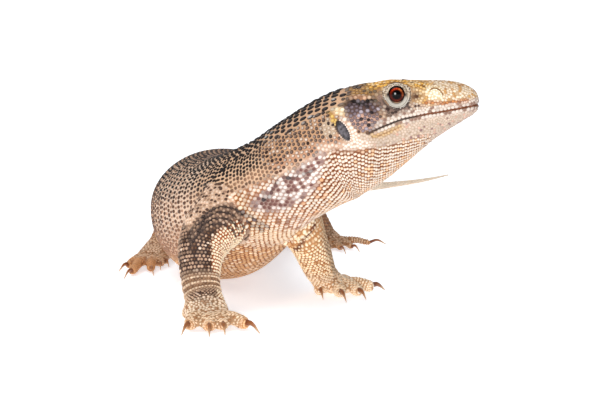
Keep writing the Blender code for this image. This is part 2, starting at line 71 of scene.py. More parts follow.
for name, kind, power, colour, form, place, towards in (
        ("soft_light_over", "SUN", 1.4, (1.0, 0.99, 0.97), ("angle", math.radians(50.0)),
         (0, 0, 0), (0.3, 0.6, -1.0)),
        ("soft_light_behind", "SUN", 0.6, (1.0, 0.99, 0.975), ("angle", math.radians(40.0)),
         (0, 0, 0), (0.2, -0.8, -0.7)),
        ("small_soft_box", "AREA", 6.6, (0.98, 0.99, 1.0), ("size", 0.2),
         (-0.105, -1.34, 0.16), (0.145, 1.06, -0.06))):
    lamp = bpy.data.lights.new(name, kind)
    lamp.energy, lamp.color = power, colour
    setattr(lamp, *form)
    set_up(name, lamp, place, towards)

world = bpy.data.worlds.new("pale_room")
world.use_nodes = True
world.node_tree.nodes["Background"].inputs["Color"].default_value = (0.985, 0.99, 1.0, 1.0)
world.node_tree.nodes["Background"].inputs["Strength"].default_value = 0.26
scene.world = world


def set_inputs(node, inputs):
    """Sets a node's inputs to values, or joins them to the outputs given for them."""
    for key, value in inputs.items():
        if isinstance(value, bpy.types.NodeSocket):
            node.id_data.links.new(value, node.inputs[key])
        else:
            node.inputs[key].default_value = value


def add_node(tree, kind, inputs=None, **settings):
    """Adds one node with its settings, values and links."""
    made = tree.nodes.new(kind)
    for key, value in settings.items():
        setattr(made, key, value)
    set_inputs(made, inputs or {})
    return made


def new_material(name):
    """A material, its node tree and its shader."""
    made = bpy.data.materials.new(name)
    made.use_nodes = True
    return made, made.node_tree, made.node_tree.nodes["Principled BSDF"]


def linear(hex_colour):
    """One sRGB hex colour as the linear values that a shader takes."""
    channels = np.array([int(hex_colour[i:i + 2], 16) / 255 for i in (1, 3, 5)])
    return np.where(channels <= 0.04045, channels / 12.92, ((channels + 0.055) / 1.055) ** 2.4)


def mesh_object(name, places=(), faces=()):
    mesh = bpy.data.meshes.new(name)
    mesh.from_pydata([tuple(p) for p in places], [], faces)
    return set_up(name, mesh)


def rework(item, act):
    """Opens an object's mesh for one piece of work and closes it again."""
    mesh = bmesh.new()
    mesh.from_mesh(item.data)
    act(mesh)
    mesh.to_mesh(item.data)
    mesh.free()
    return item


# White paper from a roll over a lit table: uncoated, so it has no gloss, with a faint tooth. The light
# that comes through it keeps the shadows pale.
paper, tree, shader = new_material("white_background_paper")
tooth = add_node(tree, "ShaderNodeTexNoise", {"Scale": 300.0, "Detail": 2.0})
shade = add_node(tree, "ShaderNodeValToRGB", {"Fac": tooth.outputs["Fac"]})
for stop, tone in zip(shade.color_ramp.elements, ("#F6F6F7", "#FBFBFC")):
    stop.color = (*linear(tone), 1.0)
set_inputs(shader, {"Roughness": 0.95, "Specular IOR Level": 0.1, "Base Color": shade.outputs["Color"],
                    "Emission Color": (*linear("#F0F7FF"), 1.0), "Emission Strength": 0.56})
floor = rework(mesh_object("paper_floor"), lambda mesh: bmesh.ops.create_circle(
    mesh, cap_ends=True, radius=9.0, segments=64))
floor.data.materials.append(paper)

# The hide
# Loose thick skin over fat and muscle, one closed surface from the snout to the tip of the tail. It
# is swept along the body, legs and toes, blended where they meet, and lies below the tops of the scales.
MM = 0.001
ORIGIN = np.array((1.87, -5.445, 0.0))
CELL = 1.38
SCALE_DEPTH = 0.45

# Head: x, half width, z of the mouth line, height above it, depth below it. Body: x, y, z, half width,
# height above and below, from the ears to the tip of the tail, with how far a section leans.
HEAD_Y = -270.0
HEAD = [
    (78.5, 2.6, 100.3, 1.6, 1.6), (77.2, 5.6, 100.1, 5.6, 3.7), (75.4, 7.4, 99.9, 7.5, 5.0),
    (71.8, 9.2, 99.6, 9.8, 6.9), (66.5, 11.0, 98.8, 12.0, 9.4), (60.5, 12.4, 97.8, 13.4, 12.3),
    (54.5, 13.4, 96.8, 14.4, 15.7), (48.5, 14.2, 95.8, 15.5, 19.8), (42.5, 15.0, 94.6, 16.8, 23.9),
    (37.5, 15.8, 93.2, 18.2, 26.6), (31.5, 17.2, 91.2, 19.0, 28.8), (25.5, 18.5, 89.0, 20.6, 30.2),
]
BODY = [
    (17.5, -268.0, 85.0, 18.6, 21.2, 28.6, 0.5), (6.5, -263.0, 77.0, 18.2, 22.0, 25.8, 1.0),
    (-4.0, -255.0, 69.5, 19.0, 22.0, 25.0, 1.0), (-13.0, -243.0, 62.0, 21.0, 22.0, 25.2, 1.0),
    (-21.0, -226.0, 54.5, 26.0, 23.5, 25.5, 1.0), (-30.0, -203.0, 47.0, 31.0, 24.6, 29.2, 1.0),
    (-38.0, -175.0, 40.5, 34.5, 26.6, 33.2, 1.0), (-43.0, -143.0, 36.0, 36.2, 29.0, 36.4, 1.0),
    (-43.5, -112.0, 33.5, 34.6, 29.8, 33.8, 1.0), (-38.0, -78.0, 32.0, 26.5, 26.5, 32.0, 1.0),
    (-28.5, -43.0, 29.0, 20.5, 24.0, 27.0, 1.0), (-22.0, -14.0, 24.0, 17.5, 20.0, 22.0, 1.0),
    (-25.0, 25.0, 16.5, 13.8, 14.8, 16.8, 1.0), (-33.0, 70.0, 13.0, 11.0, 12.4, 13.3, 1.0),
    (-37.0, 112.0, 10.8, 9.4, 10.7, 11.1, 1.0), (-29.0, 150.0, 8.8, 7.6, 8.8, 9.1, 1.0),
    (-8.0, 181.0, 6.6, 5.9, 6.8, 6.9, 1.0), (19.0, 204.0, 4.4, 4.0, 4.6, 4.7, 1.0),
    (44.0, 224.0, 2.9, 2.6, 2.8, 3.1, 1.0), (64.0, 246.0, 2.1, 1.8, 1.8, 2.1, 1.0),
    (84.0, 271.0, 1.8, 1.2, 1.2, 1.3, 1.0), (101.0, 296.0, 2.2, 0.5, 0.5, 0.5, 1.0),
]
THIN_TAIL_FROM = (19.0, 204.0, 4.4)

# Legs: x, y, z, half width and half thickness down to the sole, then each toe's root, end and claw tip.
LEGS = {
    "right_front": (
        [(-20, -220, 50, 15, 15), (-34, -236, 47, 15.5, 15.5), (-43, -247, 41, 13.5, 13.5),
         (-48, -255, 32, 11.4, 11.4), (-48.7, -259, 24, 9.9, 9.9), (-48, -263, 15.5, 9.2, 9.2),
         (-46.5, -267, 9.5, 9.2, 8.4), (-45, -273, 5.6, 10.4, 6.0), (-44, -281, 3.9, 9.6, 4.4)],
        [((-37.5, -281), (-27, -291), (-20.5, -299)), ((-39.5, -283), (-37, -294), (-35.7, -303)),
         ((-44, -284), (-43, -297), (-42.5, -307)), ((-49, -282), (-52, -294), (-55, -303.5)),
         ((-50, -273), (-54.5, -265), (-57, -257))], (4.1, 3.3)),
    "left_front": (
        [(-14, -220, 50, 15, 15), (-5, -225, 42, 12.4, 12.4), (0.3, -221, 32, 9.4, 9.8),
         (3.8, -213, 23, 8.6, 8.8), (6.4, -204, 15, 7.8, 8.0), (8.9, -196, 9.5, 7.2, 7.2),
         (12.5, -190, 5.4, 9.0, 5.8), (18, -187, 3.9, 8.2, 4.4)],
        [((8.5, -195), (6.5, -202.5), (8.3, -211)), ((14, -194), (16.5, -208), (19.4, -219)),
         ((19, -192), (25.5, -204), (29, -212)), ((21, -188), (32, -191), (39, -183)),
         ((17, -184), (21, -177), (24.5, -170.5))], (4.1, 3.3)),
    "right_hind": (
        [(-36, -34, 27, 14, 14), (-52, -40, 28, 14, 14), (-64, -45, 29, 12.5, 12.5),
         (-70, -50, 27, 10.8, 10.8), (-71, -60, 21, 9.5, 9.5), (-74, -70, 14, 8.6, 8.6),
         (-77, -79, 8.5, 8.0, 7.6), (-80, -89, 5.2, 9.2, 5.4), (-82, -99, 3.9, 9.2, 4.3)],
        [((-77, -98), (-74.5, -105), (-72.1, -111.5)), ((-78.5, -101), (-76.5, -113), (-76.1, -120.5)),
         ((-81.5, -103), (-80.5, -129), (-78.4, -139)), ((-85.5, -102), (-89.5, -138), (-92.8, -149)),
         ((-86.5, -97), (-93, -118), (-97.4, -126.5))], (3.5, 2.5)),
    "left_hind": (
        [(-16, -34, 27, 13.5, 13.5), (-4, -45, 28.5, 12, 12), (0, -55, 25.5, 9.6, 9.6),
         (2.8, -50, 19.5, 8.2, 8.2), (6.0, -43, 14.5, 7.2, 7.2), (8.5, -35.5, 9.5, 7.0, 7.0),
         (12, -33.5, 5.6, 7.6, 5.6), (17, -34, 3.7, 7.6, 4.2)],
        [((15, -39), (13.5, -50), (12, -58)), ((16, -39.5), (19, -55), (21.9, -65.5)),
         ((19, -38), (25.5, -50), (29.5, -57)), ((20, -34.5), (36, -34), (45, -28)),
         ((13, -28), (13.5, -17), (15, -9))], (3.2, 2.0)),
}
TOE_ARCH = 1.2


def unit(vectors):
    return vectors / np.maximum(np.linalg.norm(vectors, axis=-1, keepdims=True), 1e-9)


def ease(values, start, end):
    """0 at start, 1 at end, and smooth between."""
    t = np.clip((np.asarray(values, float) - start) / (end - start), 0.0, 1.0)
    return t * t * (3 - 2 * t)


def run_up(steps):
    """How far along a row each place lies, from the steps between them."""
    return np.concatenate(([0.0], np.cumsum(steps)))


def neighbours(count):
    """For each place in a row, the one before it and the one after, if there is one."""
    each = np.arange(count)
    return np.maximum(each - 1, 0), np.minimum(each + 1, count - 1)


def read_curve(rows, step):
    """Rows of numbers whose first three are a place, read from a smooth curve through them."""
    rows = np.array(rows, float)
    gaps = np.linalg.norm(np.diff(rows[:, :3], axis=0), axis=1)
    along = run_up(gaps)
    low, high = neighbours(len(rows))
    slopes = (rows[high] - rows[low]) / (along[high] - along[low])[:, None]
    found = []
    for i, gap in enumerate(gaps):
        count = max(1, round(gap / step))
        t = (np.arange(count) / count)[:, None]
        found.append((2 * t**3 - 3 * t**2 + 1) * rows[i] + (3 * t**2 - 2 * t**3) * rows[i + 1]
                     + gap * ((t**3 - 2 * t**2 + t) * slopes[i] + (t**3 - t**2) * slopes[i + 1]))
    return np.concatenate(found + [rows[-1:]])


def sweep(rows, step, ring, power):
    """A grid of places round a path, from the belly over the back to the belly, and its middle line."""
    leans = len(rows[0]) > 6
    rows = read_curve(rows, step)
    middle = rows[:, :3]
    before, after = neighbours(len(rows))
    ahead = unit(middle[after] - middle[before])
    side = unit(np.cross(ahead, (0.0, 0.0, 1.0)))
    up = unit(np.array((0.0, 0.0, 1.0)) - ahead * ahead[:, 2:3] * (rows[:, 6:7] if leans else 1.0))
    twist = np.zeros(len(rows))
    if not leans:
        carried = up.copy()
        for i in range(1, len(rows)):
            carried[i] = unit(carried[i - 1] - ahead[i] * (carried[i - 1] @ ahead[i]))
        twist = np.arctan2((carried * side).sum(1), (carried * up).sum(1))
    turn = np.linspace(-math.pi, math.pi, ring + 1)
    angle = turn[None, :] + twist[:, None]
    across, rise = (np.copysign(np.abs(wave) ** (2 / power), wave) for wave in (np.sin(angle), np.cos(angle)))
    across = across * rows[:, 3:4]
    rise = rise * np.where(rise > 0, rows[:, 4:5], rows[:, 5:6])
    grid = middle[:, None] + side[:, None] * across[..., None] + up[:, None] * rise[..., None]
    return {"grid": grid, "middle": middle, "turn": turn}


def ring_faces(rows, around, first=0):
    """Four-sided faces between rings of places, each ring closed on itself."""
    return [(first + r * around + k, first + r * around + (k + 1) % around,
             first + (r + 1) * around + (k + 1) % around, first + (r + 1) * around + k)
            for r in range(rows - 1) for k in range(around)]


def loft(name, grid):
    """A closed surface over a swept grid, flat at both ends."""
    rows, ring = grid.shape[0], grid.shape[1] - 1
    faces = ring_faces(rows, ring) + [tuple(range(ring)), tuple(range((rows - 1) * ring, rows * ring))]
    return rework(mesh_object(name, grid[:, :-1].reshape(-1, 3), faces),
                  lambda mesh: bmesh.ops.recalc_face_normals(mesh, faces=mesh.faces))


def apply_modifiers(item):
    graph = bpy.context.evaluated_depsgraph_get()
    mesh = bpy.data.meshes.new_from_object(item.evaluated_get(graph))
    item.modifiers.clear()
    item.data = mesh


def smooth(item, times):
    step = item.modifiers.new("smooth", "SMOOTH")
    step.factor, step.iterations = 0.5, times
    apply_modifiers(item)


def join_or_cut(item, others, operation):
    """Fuses closed objects with an item, or cuts them out of it, and clears them away."""
    group = bpy.data.collections.new("others")
    for other in others:
        group.objects.link(other)
    step = item.modifiers.new(operation, "BOOLEAN")
    step.operation, step.operand_type, step.solver = operation, "COLLECTION", "MANIFOLD"
    step.collection = group
    apply_modifiers(item)
    in_order(item)
    for other in others:
        bpy.data.objects.remove(other, do_unlink=True)
    bpy.data.collections.remove(group)


def in_order(item):
    """Numbers places and faces by where they lie, because a cut leaves them in a new order each run."""
    places = corners(item)
    order = np.lexsort(places.T)
    rank = np.argsort(order)
    faces = []
    for face in item.data.polygons:
        round_it = rank[list(face.vertices)]
        faces.append(tuple(np.roll(round_it, -int(np.argmin(round_it))).tolist()))
    item.data = bpy.data.meshes.new(item.name)
    item.data.from_pydata([tuple(p) for p in places[order]], [], sorted(faces))


def toe_rows(toe, sizes):
    root_size, end_size = sizes
    root, end = np.array((*toe[0], root_size)), np.array((*toe[1], end_size))
    middle = (root + end) / 2 + (0, 0, TOE_ARCH)
    blunt = end + unit(end - root) * end_size * 0.5
    widths = (root_size, (root_size + end_size) / 2 - 0.2, end_size, end_size * 0.6)
    return [(*place, wide, wide, wide) for place, wide in zip((root, middle, end, blunt), widths)]


def read(items, key, kind=float, size=3):
    """One value of every vertex, face or face corner of a mesh, as an array."""
    flat = np.empty(len(items) * size, kind)
    items.foreach_get(key, flat)
    return flat.reshape(-1, size)


def corners(item):
    return read(item.data.vertices, "co")


def facings(item):
    return read(item.data.vertices, "normal")


def set_corners(item, places):
    item.data.vertices.foreach_set("co", np.asarray(places, float).ravel())
    item.data.update()


body_rows = [(x, HEAD_Y, z, wide, above, below, 0.0) for x, wide, z, above, below in HEAD] + BODY
limb_rows = {}
for name, (chain, toes, sizes) in LEGS.items():
    limb_rows[name] = [(x, y, z, wide, thick, thick) for x, y, z, wide, thick in chain]
    limb_rows.update({f"{name}_toe_{i}": toe_rows(toe, sizes) for i, toe in enumerate(toes, 1)})
whole = sweep(body_rows, 2.2, 64, 2.06)
thin_from = int(np.argmin(np.linalg.norm(whole["middle"] - THIN_TAIL_FROM, axis=1)))
hide = loft("hide", whole["grid"][:thin_from + 5])
join_or_cut(hide, [loft(name, sweep(rows, *((1.6, 20, 2.0) if "toe" in name else (2.2, 32, 2.1)))["grid"])
                   for name, rows in limb_rows.items()], "UNION")
step = hide.modifiers.new("cells", "REMESH")
step.mode, step.voxel_size = "VOXEL", CELL
smooth(hide, 4)

# Swellings under the skin: x, distance from the middle of the head, z, reach and height.
HEAD_SWELLINGS = [
    (46.0, 9.0, 109.0, 3.2, 1.4), (41.0, 9.5, 110.5, 3.6, 2.0), (35.5, 9.5, 110.0, 3.6, 1.6),
    (57.5, 9.5, 107.0, 4.0, 0.8), (24.0, 17.0, 95.0, 8.0, 1.2), (30.0, 16.0, 84.0, 7.0, 1.0),
    (40.0, 13.0, 98.0, 3.5, 0.7), (52.0, 11.0, 100.5, 3.5, 0.5),
]
spots = [((x, HEAD_Y + s * off, z), reach, high) for x, off, z, reach, high in HEAD_SWELLINGS for s in (-1, 1)]
spots += [((-42.0, -236.0, 58.0), 9.0, 1.5), ((-1.0, -216.0, 60.0), 9.0, 1.5)]
places = corners(hide)
raised = sum(high * np.exp(-(((places - middle) / reach) ** 2).sum(1)) for middle, reach, high in spots)
set_corners(hide, places + facings(hide) * raised[:, None])

# The sockets stand nearly upright under a ridge of the brow, where a plain oval head would lean back.
EYE_FIELD_OUT, EYE_FIELD_SLOPE = 11.9, 0.22
right_eye, right_ear = (np.mean(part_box(n), axis=0) / MM + ORIGIN for n in ("right_eye", "right_ear"))
EYE_X, EYE_Z, EYE_RADIUS = right_eye[0], right_eye[2], 5.2
EYE_OUT = HEAD_Y - right_eye[1]
places = corners(hide)
sideways = np.abs(facings(hide)[:, 1])
apart = np.hypot(places[:, 0] - EYE_X, places[:, 2] - EYE_Z)
weight = (1 - ease(apart, 5.5, 10.5)) * ease(sideways, 0.3, 0.65) * (places[:, 2] > 80)
out = np.abs(places[:, 1] - HEAD_Y)
wanted = EYE_FIELD_OUT + EYE_FIELD_SLOPE * (EYE_Z - places[:, 2])
places[:, 1] = HEAD_Y + np.sign(places[:, 1] - HEAD_Y) * (out + (wanted - out) * weight)
set_corners(hide, places)
smooth(hide, 2)
join_or_cut(hide, [loft("thin_tail", whole["grid"][thin_from:, ::4])], "UNION")

# Finer faces on the head, where the eye looks closest.
rework(hide, lambda mesh: bmesh.ops.subdivide_edges(
    mesh, edges=[edge for edge in mesh.edges if edge.verts[0].co.x > 20.0 and edge.verts[0].co.z > 70.0],
    cuts=1, use_grid_fill=True))


def tree_over(places):
    """Finds the nearest of some places quickly."""
    tree = KDTree(max(1, len(places)))
    for i, place in enumerate(places):
        tree.insert(place[0:3], i)
    tree.balance()
    return tree


# Every path again as a fine grid, to say where on the hide a place is: which path, how far along it
# in mm, the angle from the back's middle line, and how far round from that line in mm.
paths = {"body": sweep(body_rows, 1.0, 180, 2.06)}
for name, rows in limb_rows.items():
    paths[name] = sweep(rows, *((0.7, 48, 2.0) if "toe" in name else (1.0, 120, 2.1)))
path_names = list(paths)
for path in paths.values():
    grid = path["grid"]
    path["way"], path["round"] = np.gradient(grid, axis=0), np.gradient(grid, axis=1)
    facing = unit(np.cross(path["round"], path["way"]))
    outward = ((grid - path["middle"][:, None]) * facing).sum(-1, keepdims=True)
    path["facing"] = facing * np.sign(np.median(outward))
    path["along"] = run_up(np.linalg.norm(np.diff(path["middle"], axis=0), axis=1))
    steps = np.linalg.norm(np.diff(grid, axis=1), axis=2)
    arc = np.concatenate((np.zeros((len(grid), 1)), np.cumsum(steps, axis=1)), axis=1)
    path["arc"] = arc - arc[:, arc.shape[1] // 2][:, None]
knots = [(n, r, c) for n, path in enumerate(paths.values())
         for r in range(0, path["grid"].shape[0], 2) for c in range(0, path["grid"].shape[1], 2)]
nearest = tree_over([paths[path_names[n]]["grid"][r, c] for n, r, c in knots])
knots = np.array(knots)


def place_on_hide(places):
    """For each place: the path's number, mm along it, the angle from the back line, mm round."""
    places = np.asarray(places, float)
    number, row, column = knots[[nearest.find(p)[1] for p in places]].T
    along, turn, arc = np.empty((3, len(places)))
    for n, path in enumerate(paths.values()):
        mine = np.flatnonzero(number == n)
        r, c = row[mine], column[mine]
        off = places[mine] - path["grid"][r, c]
        ahead, round_it = path["way"][r, c], path["round"][r, c]
        ahead_by = np.clip((off * ahead).sum(1) / (ahead ** 2).sum(1), -1, 1)
        round_by = np.clip((off * round_it).sum(1) / np.maximum((round_it ** 2).sum(1), 1e-6), -1, 1)
        rows = np.clip(r + ahead_by, 0, len(path["along"]) - 1)
        along[mine] = np.interp(rows, np.arange(len(path["along"])), path["along"])
        turn[mine] = path["turn"][c] + round_by * (path["turn"][1] - path["turn"][0])
        arc[mine] = path["arc"][r, c] + round_by * np.linalg.norm(round_it, axis=1)
    return {"path": number, "along": along, "turn": np.degrees(turn), "arc": arc}


def clouds(places, size, seed):
    """Soft random patches from 0 to 1, about as wide as the size given in mm."""
    cell = places / size + seed * 17.31
    low = np.floor(cell)
    part = cell - low
    part = part * part * (3 - 2 * part)
    total = np.zeros(len(places))
    for corner in np.ndindex(2, 2, 2):
        c = low + corner
        draw = np.sin(c @ (127.1, 311.7, 74.7) + seed * 5.3) * 43758.5453
        weight = np.prod(np.where(np.array(corner) == 1, part, 1 - part), axis=1)
        total += weight * (draw - np.floor(draw))
    return total


# Fold and edge lines on the side of the head, by x and z: over the temple, under the jaw, along the lip.
TEMPLE_FOLD = [(17.6, 101.6), (18.6, 102.6), (20.6, 102.7), (22.4, 102.0), (24.2, 101.3), (26.2, 101.6),
               (27.6, 102.6), (30.6, 102.9)]
JAW_FOLD = [(12.0, 80.6), (17.5, 80.1), (24.0, 80.5), (31.0, 81.6)]
CHEEK_FOLD = [(29.5, 87.3), (33.0, 87.6), (37.0, 88.9), (42.0, 91.2)]
LIP_EDGE = [(53.0, 101.5), (57.0, 101.8), (61.9, 101.2), (66.0, 102.0), (72.0, 102.4)]
BROW_LINE = [(20.0, 106.3), (24.0, 107.7), (31.0, 109.0), (42.0, 110.9), (51.0, 109.4), (56.0, 108.4)]


def off_line(places, line):
    """How far a place on the side of the head is from a line given by its x and z."""
    flat, line = places[:, [0, 2]], np.array(line)
    apart = np.full(len(places), 99.0)
    for start, end in zip(line[:-1], line[1:]):
        way = end - start
        share = np.clip((flat - start) @ way / (way @ way), 0, 1)
        apart = np.minimum(apart, np.linalg.norm(flat - start - share[:, None] * way, axis=1))
    return apart


# The upper edge of the right arm's dark skin, by turn round the arm and mm down it. Folds repeat under it.
ARM_EDGE = [(-180, 36), (-100, 28), (-60, 31), (-46, 33), (-37, 34.4), (-24, 37.6), (-16, 40.4), (-6, 43.1),
            (0, 47), (8, 49), (20, 47), (60, 43), (180, 36)]
ARM_FOLD_STEP = 3.1


def span(values, *stops):
    """Rises smoothly from 0 to 1 between the first two stops and falls again between the last two."""
    return ease(values, *stops[:2]) * (1 - ease(values, *stops[2:]))


def below_arm_edge(on_hide):
    """How far in mm a place lies below that edge, and how much of a fold it is: 1 in its bottom."""
    below = on_hide["along"] - np.interp(on_hide["turn"], *zip(*ARM_EDGE))
    folds = (on_hide["path"] == path_names.index("right_front")) * span(below, -1.2, 0.0, 10, 13)
    folds = folds * span(on_hide["turn"], -125, -105, -8, 12)
    return below, folds * ease(np.cos((below - 0.6) * 2 * math.pi / ARM_FOLD_STEP), -0.1, 0.7)


# Folds of loose skin: the path, mm along it, the middle of the angle range and half of it, width and depth.
FOLDS = [(name, at, 0, 180, 0.9, depth) for name, stops, depth in (
    ("right_front", (64.5, 67.5, 70.5, 73.5), 0.5), ("left_front", (55.0, 58.0, 61.0, 64.0), 0.5),
    ("right_hind", (74.0, 77.0), 0.45), ("left_hind", (52.0, 55.0), 0.45)) for at in stops]
FOLDS += [("left_front", 20.5, 76, 66, 1.6, 1.9)]
TEMPLE_SHELF = [(19.0, 104.2), (28.0, 104.4)]
places = corners(hide)
on_hide = place_on_hide(places)
sink = np.full(len(places), SCALE_DEPTH)
for name, at, middle, half, width, depth in FOLDS:
    mine = on_hide["path"] == path_names.index(name)
    apart = np.abs((on_hide["turn"] - middle + 180) % 360 - 180)
    sink += (mine * depth * np.exp(-((on_hide["along"] - at) / width) ** 2)
             * (1 - ease(apart, half - 15, half + 1)))
on_head = ease(places[:, 2], 76, 79) * ease(np.abs(facings(hide)[:, 1]), 0.2, 0.4) * ease(places[:, 0], 8, 12)
for line, width, depth in ((TEMPLE_FOLD, 0.8, 1.0), (JAW_FOLD, 0.8, 0.6), (CHEEK_FOLD, 1.0, 0.5),
                           (TEMPLE_SHELF, 1.0, -0.7)):
    sink += on_head * depth * np.exp(-(off_line(places, line) / width) ** 2)
sink += 0.55 * below_arm_edge(on_hide)[1]
set_corners(hide, places - facings(hide) * sink[:, None])


def tree_of(item):
    faces = [tuple(face.vertices) for face in item.data.polygons]
    return BVHTree.FromPolygons([tuple(p) for p in corners(item)], faces)


plain_tree = tree_of(hide)

# Eyes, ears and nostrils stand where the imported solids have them, the same on both sides.
EAR_X, EAR_Z, EAR_SLANT = right_ear[0], right_ear[2], 32.0
EAR_HALF = (2.0, 4.5, 5.1)
NOSTRIL_X, NOSTRIL_Z = 58.0, 106.6
NOSTRIL_ARCH = [(55.2, 107.0), (56.6, 107.9), (58.3, 107.8), (59.8, 106.9), (60.8, 105.6), (61.1, 104.6)]
MOUTH_LINE = [(77.6, 100.2), (68.0, 98.7), (54.0, 96.6), (42.7, 94.4), (32.5, 90.7), (28.0, 88.6)]


def mouth_height(x):
    return np.interp(x, *zip(*reversed(MOUTH_LINE)))


def ball(name, middle, half, turn, segments, rings):
    """A ball stretched to its half sizes, turned about Y by degrees and set at a place."""
    frame_of = Matrix.Rotation(math.radians(turn), 3, "Y") @ Matrix.Diagonal(Vector(half))

    def shape(mesh):
        bmesh.ops.create_uvsphere(mesh, u_segments=segments, v_segments=rings, radius=1.0)
        for vertex in mesh.verts:
            vertex.co = frame_of @ vertex.co + Vector(middle)

    return rework(mesh_object(name), shape)


def skin_at(x, z, side):
    """The place on the side of the head at an x and z, on the hide before it is opened."""
    start = Vector((x, HEAD_Y + side * 60, z))
    place, facing, _, _ = plain_tree.ray_cast(start, Vector((0, -side, 0)))
    return np.array(place), np.array(facing)


openings = []
for side in (-1, 1):
    eye_middle = (EYE_X, HEAD_Y + side * EYE_OUT, EYE_Z)
    openings.append(ball("socket", eye_middle, (EYE_RADIUS + 0.12,) * 3, 0.0, 32, 20))
    openings.append(ball("ear_cup", skin_at(EAR_X, EAR_Z, side)[0], EAR_HALF, -EAR_SLANT, 28, 16))
    for x, z, slant in ((56.8, 107.8, 12.0), (59.0, 107.4, -24.0), (60.6, 105.8, -60.0)):
        openings.append(ball("nostril", skin_at(x, z, side)[0], (1.3, 0.9, 0.22), -slant, 20, 12))
join_or_cut(hide, openings, "DIFFERENCE")

places = corners(hide)
lip = ease(places[:, 0], 27.0, 30.0) * (places[:, 2] > 60)
groove = np.exp(-((places[:, 2] - mouth_height(places[:, 0])) / 0.55) ** 2) * lip
places = places - facings(hide) * groove[:, None] * 1.1
places[:, 2] = np.maximum(places[:, 2], 0.05)
set_corners(hide, places)
hide_tree = tree_of(hide)


def in_oval(places, x, z, half_long, half_wide, slant):
    """How far out a place is in a slanting oval on the side of the head: 1 is its edge."""
    angle = math.radians(slant)
    right, up = places[:, 0] - x, places[:, 2] - z
    long = right * math.cos(angle) + up * math.sin(angle)
    wide = -right * math.sin(angle) + up * math.cos(angle)
    return np.hypot(long / half_long, wide / half_wide)


# The markings are one set of rules for the hide, its scales and their rims, by place on the animal.
EAR_AT, SHOULDER_AT, HIP_AT = 61.0, 118.0, 330.0
# The throat's rows begin below this line, and the pale shoulder patch lies between two turns of the neck.
THROAT_EDGE = [(8.0, 79.8), (17.0, 80.4), (28.0, 81.2), (40.0, 83.8), (49.0, 86.0), (58.0, 88.2)]
PATCH_TOP = [(66, 91), (74, 96), (84, 100), (90, 101), (98, 108), (106, 113)]
PATCH_END = [(66, 99), (72, 108), (80, 127), (88, 136), (96, 140), (104, 131), (110, 124)]
# Where the first of the four rings of wrist folds stands on each front leg, in mm down the leg.
WRISTS = {"right_front": 64.5, "left_front": 55.0}
ELBOW_CREASE = [(30, 17.0), (72, 20.0), (114, 24.0)]
# The folds of the right armpit run on over the chest, by x and z. The arm's inner side is cream beyond
# these turns.
ARMPIT_FOLDS = [[(-17, 41.5), (-22, 44.5), (-26, 46.8), (-31, 49.6)], [(-20, 40.0), (-25, 43.0), (-31, 46.4)]]
ARM_CREAM = [(24, 122), (30, 100), (35, 81), (39, 74), (44, 66), (50, 62), (56, 64), (63, 71), (71, 78)]
PATCH_LINE = [(74, 105), (78, 108), (82, 108), (88, 104), (92, 104), (95, 109), (98, 116), (104, 118)]
JAW_BAND = [(6, 81.6), (14, 82.4), (27, 83.8)]


def mix(under, over, share):
    return under * (1 - share) + over * share


